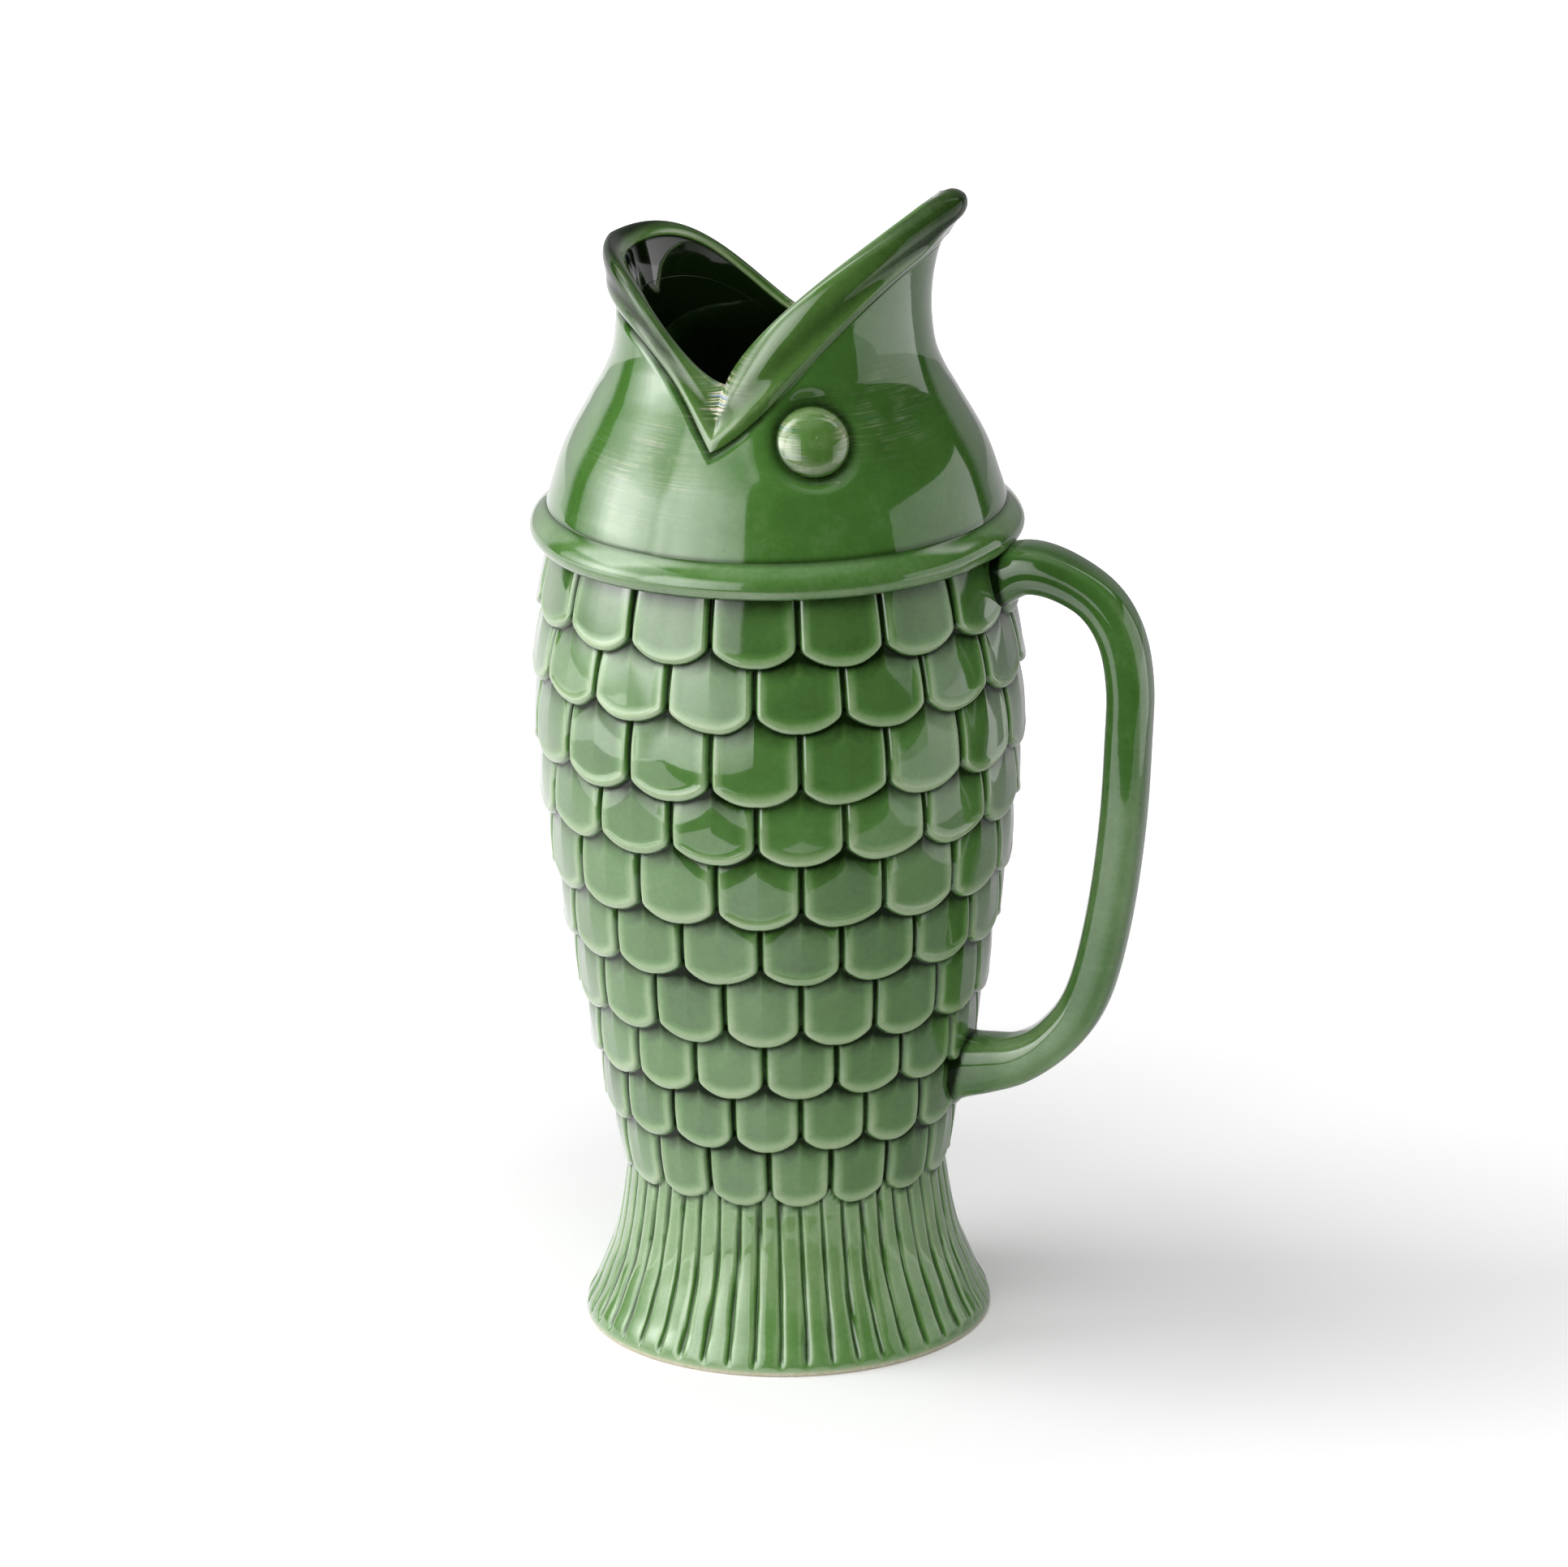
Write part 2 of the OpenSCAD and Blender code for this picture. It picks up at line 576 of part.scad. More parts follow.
module handle() {
    outer_count = path_last * rings_per_stretch;
    bore_count = outer_count - rings_per_stretch;
    n = section_points;
    outer = [for (i = [0 : outer_count]) handle_ring(i / rings_per_stretch, 0)];
    bore = [for (i = [bore_count : -1 : 0]) handle_ring(i / rings_per_stretch, handle_wall)];
    points = [for (ring = concat(outer, bore)) each ring];
    rings = len(outer) + len(bore);
    // Sides and the ring around the port, then the two caps at the upper root
    sides = [for (i = [0 : rings - 1], j = [0 : n - 1])
        if (i != outer_count)
            let (k = (i + 1) % rings)
            each quad(i * n + j, i * n + (j + 1) % n, k * n + (j + 1) % n, k * n + j)];
    seat_cap = [for (j = [0 : n - 1]) outer_count * n + j];
    bore_cap = [for (j = [n - 1 : -1 : 0]) (outer_count + 1) * n + j];
    color(glaze) polyhedron(points = points, faces = concat(sides, [seat_cap, bore_cap]));
}

// The eye button: a flat seat, a short straight side and a dome
module eye() {
    dome_r = (eye_r ^ 2 + eye_rise ^ 2) / (2 * eye_rise);
    dome_from = asin(eye_r / dome_r) * (eye_rise > eye_r ? -1 : 1);
    steps = 8;
    arc = [for (i = [0 : steps]) let (a = dome_from * (1 - i / steps))
        [dome_r * sin(a), dome_r * cos(a) + eye_rise - dome_r]];
    translate(eye_place - eye_dir * eye_sink)
        rotate([0, 90 - eye_lean, eye_turn - 90])
            rotate_extrude($fn = 48) polygon(concat([[0, 0]], arc));
}
module eye_left() {
    color(pale_glaze) eye();
}
module eye_right() {
    color(pale_glaze) mirror([0, 1, 0]) eye();
}

trunk();
head();
mouth_lip();
collar_band();
tail_foot();
foot_base();
handle();
eye_left();
eye_right();
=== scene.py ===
"""A fish-shaped gurgle jug in green-glazed earthenware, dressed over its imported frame.

The jug stands on the table at z = 0 and looks up. Its mouth is open at the top, its low lip
pours towards -X, and its handle stands at +X. Sizes are in millimetres and angles in
degrees, until a mesh is made in metres. An azimuth runs from -Y towards the handle at 90.
"""

from __future__ import annotations

import logging
from dataclasses import dataclass
from enum import Enum
from typing import Any

import bpy
import numpy as np
from mathutils import Matrix, Vector
from numpy.typing import NDArray

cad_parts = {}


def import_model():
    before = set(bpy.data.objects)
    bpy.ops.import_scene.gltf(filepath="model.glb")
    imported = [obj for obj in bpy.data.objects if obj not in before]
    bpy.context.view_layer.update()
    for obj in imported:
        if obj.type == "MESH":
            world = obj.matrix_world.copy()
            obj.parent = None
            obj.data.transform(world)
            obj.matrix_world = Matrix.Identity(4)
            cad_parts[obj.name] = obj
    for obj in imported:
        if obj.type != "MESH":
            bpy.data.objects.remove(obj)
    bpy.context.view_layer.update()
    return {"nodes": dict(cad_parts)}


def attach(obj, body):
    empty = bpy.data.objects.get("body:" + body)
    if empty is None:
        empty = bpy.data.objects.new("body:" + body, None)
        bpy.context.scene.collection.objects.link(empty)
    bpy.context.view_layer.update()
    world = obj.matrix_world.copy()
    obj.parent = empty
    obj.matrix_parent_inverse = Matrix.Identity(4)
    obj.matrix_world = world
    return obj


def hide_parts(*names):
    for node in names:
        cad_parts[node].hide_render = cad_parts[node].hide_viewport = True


Array = NDArray[np.float64]
Stops = tuple[tuple[float, float | str], ...]
LOG = logging.getLogger("gurgle_jug")
METRES_PER_MM = 0.001
BODY = "root"
WHITE = (1.0, 1.0, 1.0, 1.0)


def linear(hex_colour: str) -> tuple[float, float, float, float]:
    """Turns an sRGB hex colour into linear RGBA.

    Args:
        hex_colour: six hex digits after a hash sign.

    Returns:
        Red, green, blue and an alpha of 1.
    """
    values = [int(hex_colour[i : i + 2], 16) / 255 for i in (1, 3, 5)]
    red, green, blue = (v / 12.92 if v <= 0.04045 else ((v + 0.055) / 1.055) ** 2.4 for v in values)
    return red, green, blue, 1.0


def ease(x: Array, low: float, high: float) -> Array:
    """Smooth step from 0 at low to 1 at high, 3t^2 - 2t^3 of the clipped share t."""
    t = np.clip((x - low) / (high - low), 0.0, 1.0)
    return t * t * (3 - 2 * t)


def mix(a: Array | float, b: Array | float, share: Array | float) -> Array:
    """Straight blend from a, at share 0, to b, at share 1."""
    return a + (b - a) * share


def fade(x: Array, high: float, low: float) -> Array:
    """Smooth step the other way, from 1 at the first place to 0 at the second."""
    return 1 - ease(x, high, low)


def bump(x: Array, centre: float, width: float) -> Array:
    """Bell of height 1 about a centre, e to the power of -((x - centre) / width)^2."""
    return np.exp(-(((x - centre) / width) ** 2))


def ring_points(radius: Array, turn: Array, height: Array) -> Array:
    """Points at a radius, an azimuth and a height: (r sin t, -r cos t, z)."""
    t = np.radians(turn)
    return np.stack(np.broadcast_arrays(radius * np.sin(t), -radius * np.cos(t), height), axis=-1)


class Curve:
    """A smooth curve through places and values, a cubic Hermite with central slopes."""

    def __init__(self, *table: tuple[float, float]) -> None:
        """Keeps the table and works out a slope at each place.

        Args:
            *table: pairs of a place and a value, in rising order of place.
        """
        self.places, self.values = np.array(table, float).T
        low = np.maximum(np.arange(len(table)) - 1, 0)
        high = np.minimum(np.arange(len(table)) + 1, len(table) - 1)
        self.slopes = (self.values[high] - self.values[low]) / (self.places[high] - self.places[low])

    def __call__(self, place: Array) -> Array:
        """Value at each place, held at the end values outside the table.

        With a share s of the span from value v0 to v1, slopes a and b times the span and
        rise d = v1 - v0, it is v0 + a s + (3d - 2a - b) s^2 + (a + b - 2d) s^3.

        Args:
            place: the places.

        Returns:
            The values there.
        """
        x = np.asarray(place, float)
        i = np.clip(np.searchsorted(self.places, x) - 1, 0, len(self.places) - 2)
        span = self.places[i + 1] - self.places[i]
        s = np.clip((x - self.places[i]) / span, 0.0, 1.0)
        a, b = self.slopes[i] * span, self.slopes[i + 1] * span
        rise = self.values[i + 1] - self.values[i]
        return self.values[i] + a * s + (3 * rise - 2 * a - b) * s**2 + (a + b - 2 * rise) * s**3


class Surface:
    """A closed grid of points, rings by columns, where the last ring joins the first.

    Each point carries the depth of its glaze tone, from 0 on a thin ridge to 1 in a groove full of
    glaze and 2 on an open inner wall. Besides glaze pooled in grooves, this holds painted shade:
    under the rows of scales, the collar band and the lip, and the deepest tone painted on the inner
    wall as the dark inside the mouth. Each point also carries its lustre, from 0 to 1, and whether
    the clay is bare.
    """

    LAYERS = ("pool_and_shade", "lustre", "bare")

    def __init__(self, *parts: tuple[Any, ...]) -> None:
        """Stacks parts of the grid, ring on ring.

        Args:
            *parts: for each part its points and its layers in order, each a number or an
                array. A layer that is left out is 0.
        """
        self.points = np.concatenate([points for points, *_ in parts])
        self.layers = []
        for index in range(len(self.LAYERS)):
            values = [(points, layers[index] if index < len(layers) else 0.0) for points, *layers in parts]
            self.layers.append(np.concatenate([np.broadcast_to(v, p.shape[:2]).ravel() for p, v in values]))

    def faces(self) -> NDArray[np.int64]:
        """Quads between neighbouring rings and columns, wrapped both ways, facing outwards.

        Returns:
            Four point numbers for each face.
        """
        rings, columns = self.points.shape[:2]
        i, j = np.meshgrid(np.arange(rings), np.arange(columns), indexing="ij")
        up, on = (i + 1) % rings, (j + 1) % columns
        corners = (i * columns + j, i * columns + on, up * columns + on, up * columns + j)
        return np.stack(corners, -1).reshape(-1, 4)


def add_object(name: str, data: bpy.types.ID) -> bpy.types.Object:
    """Makes an object of a mesh, lamp or camera, and links it to the scene.

    Args:
        name: name of the new object.
        data: the mesh, lamp or camera.

    Returns:
        The object, at the origin.
    """
    new = bpy.data.objects.new(name, data)
    bpy.context.scene.collection.objects.link(new)
    return new


def build_mesh(name: str, *surfaces: Surface) -> bpy.types.Object:
    """Joins closed surfaces into one object, in metres, with its glaze attributes.

    Args:
        name: name of the new object.
        *surfaces: the grids to join.

    Returns:
        The object, at the origin.
    """
    points = [surface.points.reshape(-1, 3) for surface in surfaces]
    firsts = np.cumsum([0] + [len(p) for p in points])
    faces = np.concatenate([surface.faces() + first for surface, first in zip(surfaces, firsts)])
    mesh = bpy.data.meshes.new(name)
    mesh.from_pydata((np.concatenate(points) * METRES_PER_MM).tolist(), [], faces.tolist())
    for index, layer in enumerate(Surface.LAYERS):
        values = np.concatenate([surface.layers[index] for surface in surfaces])
        attribute = mesh.attributes.new(layer, "FLOAT", "POINT")
        attribute.data.foreach_set("value", np.clip(values, 0, 2).astype(np.float32))
    mesh.polygons.foreach_set("use_smooth", np.ones(len(mesh.polygons), bool))
    mesh.validate()
    mesh.update()
    return add_object(name, mesh)


@dataclass(frozen=True)
class JugForm:
    """Heights and outlines that the pieces share, the same as those of the solid model.

    Each curve runs from 0 at one radius to 1 at the other, over shares of the height.
    """

    foot_h: float = 38.5
    foot_r: float = 51.8
    waist_r: float = 40.6
    trunk_h: float = 167.5
    belly_r: float = 62.0
    head_set_in: float = 4.7
    collar_lap: float = 4.5
    collar_h: float = 8.7
    neck_h: float = 47.3
    neck_r: float = 39.1
    wall: float = 5.0
    foot_curve: Curve = Curve(
        (0, 1), (0.1, 0.935), (0.21, 0.735), (0.36, 0.525), (0.52, 0.31), (0.73, 0.14), (1, 0)
    )
    trunk_curve: Curve = Curve(
        *((0, 0), (0.12, 0.237), (0.3, 0.523), (0.5, 0.812), (0.6, 0.921)),
        *((0.7, 0.986), (0.78, 1), (0.9, 0.936), (1, 0.85)),
    )
    head_curve: Curve = Curve(
        *((0, 1), (0.08, 0.945), (0.31, 0.74), (0.57, 0.37), (0.7, 0.184), (0.83, 0.054), (1, 0)),
        *((1.13, 0.005), (1.26, 0.05), (1.39, 0.14), (1.75, 0.55)),
    )

    @property
    def collar_z(self) -> float:
        """Height of the collar band's underside."""
        return self.foot_h + self.trunk_h

    @property
    def head_z(self) -> float:
        """Height of the collar band's top."""
        return self.collar_z + self.collar_h

    @property
    def head_r(self) -> float:
        """Radius of the head inside the collar band."""
        return self.belly_r - self.head_set_in

    def foot_out(self, z: Array) -> Array:
        """Outline radius of the tail at a height."""
        return mix(self.waist_r, self.foot_r, self.foot_curve(z / self.foot_h))

    def trunk_out(self, z: Array) -> Array:
        """Outline radius of the trunk over its scale rims at a height."""
        return mix(self.waist_r, self.belly_r, self.trunk_curve((z - self.foot_h) / self.trunk_h))

    def head_out(self, z: Array) -> Array:
        """Outline radius of the head at a height."""
        return mix(self.neck_r, self.head_r, self.head_curve((z - self.head_z) / self.neck_h))


def set_inputs(node: bpy.types.Node, inputs: dict[Any, Any]) -> None:
    """Gives a node's inputs a value each, or a link from an output.

    Args:
        node: the node.
        inputs: by the input's name or number, a value or an output.
    """
    for key, value in inputs.items():
        if isinstance(value, bpy.types.NodeSocket):
            node.id_data.links.new(node.inputs[key], value)
        else:
            node.inputs[key].default_value = value


def add_node(
    tree: bpy.types.NodeTree, kind: str, *values: Any, out: int | str = 0, **settings: Any
) -> bpy.types.NodeSocket:
    """Adds a shader node with its settings, values and links.

    Args:
        tree: the node tree to add to.
        kind: the node's type, less the word ShaderNode.
        *values: for the inputs in order, a value or an output to link from. The last may be
            a dict of these by the input's name or number.
        out: name or number of the output that is wanted.
        **settings: properties of the node.

    Returns:
        The wanted output.
    """
    node = tree.nodes.new("ShaderNode" + kind)
    for key, value in settings.items():
        setattr(node, key, value)
    named = values[-1] if values and isinstance(values[-1], dict) else {}
    set_inputs(node, dict(enumerate(values[:-1] if named else values)) | named)
    return node.outputs[out]


def fill_ramp(output: bpy.types.NodeSocket, stops: Stops) -> bpy.types.NodeSocket:
    """Gives a colour ramp its stops: hex colours, or grey shares, which ease into each other.

    Args:
        output: the output of the ramp's node.
        stops: for each stop its place and its colour or share.

    Returns:
        The same output.
    """
    ramp = output.node.color_ramp
    while len(ramp.elements) < len(stops):
        ramp.elements.new(1.0)
    for element, (place, tone) in zip(ramp.elements, stops):
        element.position = place
        element.color = linear(tone) if isinstance(tone, str) else (tone, tone, tone, 1.0)
    if not isinstance(stops[0][1], str):
        ramp.interpolation = "EASE"
    return output


def new_material(name: str) -> tuple[bpy.types.Material, bpy.types.NodeTree, bpy.types.Node]:
    """Makes a material with nodes.

    Args:
        name: name of the material.

    Returns:
        The material, its node tree and its shader.
    """
    material = bpy.data.materials.new(name)
    material.use_nodes = True
    return material, material.node_tree, material.node_tree.nodes["Principled BSDF"]


class Ramp(Enum):
    """Tones of the glaze from its thinnest place to its deepest; the deep end also gives painted shade."""

    SCALES = ("#a9c293", "#5c8a45", "#14230b")
    SMOOTH = ("#9dba86", "#4c7a35", "#12200a")
    LIP = ("#c3cfa8", "#58803c", "#12200a")


@dataclass(frozen=True)
class GreenGlaze:
    """Translucent lead-type green glaze, dipped over cream clay and fired to a high gloss.

    It runs off ridges, where the pale clay shows through, and pools almost black in
    grooves. A glaze of this kind has an IOR of about 1.6 to 1.7. Its patterns are given by
    their number in a metre: clouds about 12 mm apart, mottles 1.5 mm, patches of lustre
    8 mm, and the bare clay's grains 1.1 mm.
    """

    name: str
    ramp: Ramp
    roughness: float = 0.09
    coat_roughness: float = 0.025
    ior: float = 1.6
    coat_ior: float = 1.7
    wave_mm: float = 9.0
    wave_depth_mm: float = 0.035
    brush_depth_mm: float = 0.05
    streaks: float = 0.5
    clouds_per_m: float = 85.0
    mottles_per_m: float = 700.0
    patches_per_m: float = 130.0
    grains_per_m: float = 900.0
    brush_per_m: tuple[float, float, float] = (60.0, 60.0, 2300.0)
    places: tuple[float, ...] = (0.0, 0.5, 0.97)
    lustre_tones: Stops = (
        *((0.3, "#8aa0c8"), (0.44, "#d8d2a8"), (0.55, "#e2e4cc")),
        *((0.66, "#d9b6b4"), (0.78, "#6f9cae")),
    )
    clay_tones: Stops = ((0.3, "#cfc4a4"), (0.7, "#ebe3cf"))

    def build(self) -> bpy.types.Material:
        """Makes the material: pooled tones, brushed lustre and a slightly wavy gloss.

        The tone is read off the ramp at the depth of glaze, with painted shade added in, plus two
        noises. The lustre's share is the product of its attribute, its brush lines and its patches,
        and a full lustre has no patches. The coat's weight falls where the glaze is deep or shade is
        painted, or where the clay is bare.

        Returns:
            The new material.
        """
        material, tree, shader = new_material(self.name)
        place = add_node(tree, "TexCoord", out="Object")
        layers = [add_node(tree, "Attribute", out="Fac", attribute_name=name) for name in Surface.LAYERS]
        pool_and_shade, lustre, bare = layers
        # The glaze clouds where it was dipped thicker, and has a fine mottle
        clouds = {"Scale": self.clouds_per_m, "Detail": 3.0, "Roughness": 0.6}
        mottles = {"Scale": self.mottles_per_m, "Detail": 2.0, "Roughness": 0.7}
        cloud = add_node(tree, "TexNoise", place, clouds)
        mottle = add_node(tree, "TexNoise", place, mottles)
        cloudy = add_node(tree, "Math", cloud, 0.26, -0.13, operation="MULTIPLY_ADD")
        mottled = add_node(tree, "Math", mottle, 0.14, -0.07, operation="MULTIPLY_ADD")
        both = add_node(tree, "Math", cloudy, mottled, operation="ADD")
        depth = add_node(tree, "Math", pool_and_shade, both, operation="ADD", use_clamp=True)
        tones = fill_ramp(add_node(tree, "ValToRGB", depth), tuple(zip(self.places, self.ramp.value)))
        # Lustre: fine brush lines that run almost level round the jug, about 0.45 mm apart
        spread = {"Rotation": (0.16, 0.3, 0.0), "Scale": self.brush_per_m}
        turned = add_node(tree, "Mapping", place, spread)
        patch = add_node(tree, "TexNoise", place, {"Scale": self.patches_per_m, "Detail": 2.0})
        patchy = add_node(tree, "MapRange", patch, 0.4, 0.62)
        brushed = add_node(tree, "TexNoise", turned, {"Scale": 1.0, "Detail": 4.0, "Roughness": 0.65})
        lines = add_node(tree, "MapRange", brushed, 0.46, 0.7)
        hue = add_node(tree, "TexNoise", turned, {"Scale": 0.45, "Detail": 2.0})
        rainbow = fill_ramp(add_node(tree, "ValToRGB", hue), self.lustre_tones)
        strokes = add_node(tree, "Math", lines, lustre, operation="MULTIPLY")
        full = add_node(tree, "Math", lustre, 8.0, operation="POWER")
        mask = add_node(tree, "Math", patchy, full, operation="MAXIMUM")
        amount = add_node(tree, "Math", strokes, mask, operation="MULTIPLY")
        share = add_node(tree, "Math", amount, self.streaks, operation="MULTIPLY", use_clamp=True)
        lustred = add_node(tree, "Mix", {0: share, 6: tones, 7: rainbow}, out=2, data_type="RGBA")
        clay = add_node(tree, "TexNoise", place, {"Scale": self.grains_per_m, "Detail": 3.0})
        clay_colour = fill_ramp(add_node(tree, "ValToRGB", clay), self.clay_tones)
        final = add_node(tree, "Mix", {0: bare, 6: lustred, 7: clay_colour}, out=2, data_type="RGBA")
        # Orange-peel waves in the fired surface, with fine brush relief where the lustre is
        waves = {"Scale": 1000.0 / self.wave_mm, "Detail": 2.0, "Roughness": 0.45}
        wave = add_node(tree, "TexNoise", place, waves)
        depths = [d * METRES_PER_MM for d in (self.wave_depth_mm, self.brush_depth_mm)]
        ripple = add_node(tree, "Bump", {"Height": wave, "Strength": 1.0, "Distance": depths[0]})
        relief = {"Height": amount, "Normal": ripple, "Strength": 0.12, "Distance": depths[1]}
        # Painted shade on the gloss: the coat and the specular tint are turned down where the glaze is
        # deep or shade is painted, as deep in a narrow groove the glazed walls only mirror each other,
        # and the gloss comes back on an open inner wall
        crevice_shade = add_node(tree, "MapRange", pool_and_shade, 0.6, 0.95, 1.0, 0.08)
        wet = add_node(tree, "Math", 1.0, bare, operation="SUBTRACT")
        inner = add_node(tree, "MapRange", pool_and_shade, 1.2, 1.8)
        open_gloss = add_node(tree, "Math", crevice_shade, inner, operation="MAXIMUM")
        inputs = {
            "Base Color": final,
            "Normal": add_node(tree, "Bump", relief),
            "Coat Normal": ripple,
            "Roughness": add_node(tree, "Math", bare, 0.5, self.roughness, operation="MULTIPLY_ADD"),
            "Coat Weight": add_node(tree, "Math", wet, open_gloss, operation="MULTIPLY"),
            "Specular Tint": open_gloss,
            "IOR": self.ior,
            "Coat IOR": self.coat_ior,
            "Coat Roughness": self.coat_roughness,
        }
        set_inputs(shader, inputs)
        return material


@dataclass(frozen=True)
class BareClay:
    """Unglazed cream earthenware under the foot, wiped clean and fired matt."""

    name: str = "bare cream earthenware"
    tones: Stops = ((0.3, "#c9bda0"), (0.7, "#e9e0cb"))
    grain_mm: float = 1.0
    grain_depth_mm: float = 0.1

    def build(self) -> bpy.types.Material:
        """Makes the material: a noise as grain, both in a soft tint and in the relief.

        Returns:
            The new material.
        """
        material, tree, shader = new_material(self.name)
        place = add_node(tree, "TexCoord", out="Object")
        fine = {"Scale": 1000.0 / self.grain_mm, "Detail": 4.0, "Roughness": 0.6}
        grain = add_node(tree, "TexNoise", place, fine)
        relief = {"Height": grain, "Strength": 0.4, "Distance": self.grain_depth_mm * METRES_PER_MM}
        inputs = {
            "Base Color": fill_ramp(add_node(tree, "ValToRGB", grain), self.tones),
            "Normal": add_node(tree, "Bump", relief),
            "Roughness": 0.8,
            "IOR": 1.5,
        }
        set_inputs(shader, inputs)
        return material


@dataclass
class FlutedTail:
    """The fluted tail that flares into the foot, with grooves cut by hand in the wet clay.

    Its lowest rings are listed by height, and its columns by their share of one flute.
    """

    form: JugForm
    count: int = 48
    groove_d: float = 0.7
    groove_w: float = 0.6
    rib_d: float = 0.3
    bead_d: float = 0.75
    bead_h: float = 1.0
    edge_h: float = 2.6
    bare_h: tuple[float, float] = (0.7, 1.25)
    face_pool: tuple[float, float] = (0.45, 0.34)
    groove_pool: float = 0.84
    ridge_thin: float = 0.2
    base_t: float = 6.0
    ring_w: float = 5.4
    low_z: tuple[float, ...] = (0.0, 0.35, 0.9, 1.6, 2.1, 2.6, 3.1, 3.7, 4.5)
    inner_z: tuple[float, ...] = (30.0, 22.0, 14.0)
    across: tuple[float, ...] = (0, 0.045, 0.09, 0.15, 0.24, 0.36, 0.5, 0.64, 0.76, 0.85, 0.91, 0.955)

    def turns(self) -> Array:
        """Azimuths of the columns, closest about the grooves."""
        return (np.arange(self.count)[:, None] + np.array(self.across)).ravel() * 360.0 / self.count

    def relief(self, turn: Array, z: Array, radius: Array) -> tuple[Array, Array]:
        """Depth of the flutes below the outline, and the glaze pooled in them.

        A groove is a smooth dip about 2 mm wide, which wanders and varies a little from one
        flute to the next. The flute between two grooves rounds off as the square of the way
        from its middle. Glaze fills the groove and runs thin on the ridge beside it.

        Args:
            turn: azimuths.
            z: heights.
            radius: outline radii there.

        Returns:
            The depths and the pools.
        """
        wander = 0.05 * np.sin(z * 0.11 + turn * 0.7) + 0.025 * np.sin(z * 0.31 + turn * 2.3)
        place = turn * self.count / 360.0 + wander * ease(z, 0, 12)
        index = np.round(place)
        pitch = 2 * np.pi * radius / self.count
        away = np.abs(place - index) * pitch
        vary = 1 + 0.2 * np.sin(index * 12.9898) * np.cos(index * 4.1)
        width = self.groove_w * vary * mix(1.15, 0.9, ease(z, 2, 30))
        starts = ease(z, self.edge_h - 0.9, self.edge_h + 1.6)
        groove = self.groove_d * fade(away, 0.0, width + 0.4) * starts
        rib = self.rib_d * (1 - np.clip(away / (0.42 * pitch), 0, 1)) ** 2 * starts
        darkened = fade(away, width * 0.2, width + 0.55) * starts
        thin = fade(away, width + 0.4, width + 1.3) * (1 - darkened) * starts
        face = mix(*self.face_pool, ease(z, 8, 26))
        return groove + rib, mix(face, self.groove_pool, darkened) - self.ridge_thin * thin

    def build(self) -> bpy.types.Object:
        """Builds the tail: its outside up to the waist and its plain inside down to the base.

        The outside is the outline less the flutes' depth, rounded under at the foot by a
        square of the share of the last millimetre. The edge it stands on is bare clay.

        Returns:
            The tail.
        """
        form, turn = self.form, self.turns()[None, :]
        heights = [self.low_z, np.linspace(5.6, form.foot_h - 0.06, 34), [form.foot_h]]
        z = np.concatenate(heights)[:, None] + 0 * turn
        outline = form.foot_out(z)
        depth, pool_and_shade = self.relief(turn, z, outline)
        bead = self.bead_d * (1 - np.clip(z / self.bead_h, 0, 1)) ** 2
        outer = ring_points(outline - depth - bead, turn, z)
        pool_and_shade = np.where(z < 3.4, np.minimum(pool_and_shade, mix(0.22, 0.6, ease(z, 1.2, 3.4))), pool_and_shade)
        step_z = (self.base_t + 0.02, self.base_t)
        inner_z = np.array([form.foot_h, *self.inner_z, *step_z, 0.0])[:, None]
        seat_r = form.foot_r - self.ring_w
        inner_r = np.where(inner_z > self.base_t, form.foot_out(inner_z) - form.wall - 0.5, seat_r)
        inner_r[0] = form.waist_r - form.wall
        outside = (outer, pool_and_shade, 0, fade(z, *self.bare_h))
        piece = build_mesh("fluted_tail", Surface(outside, (ring_points(inner_r, turn, inner_z), 0.85)))
        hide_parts("tail_foot")
        return piece


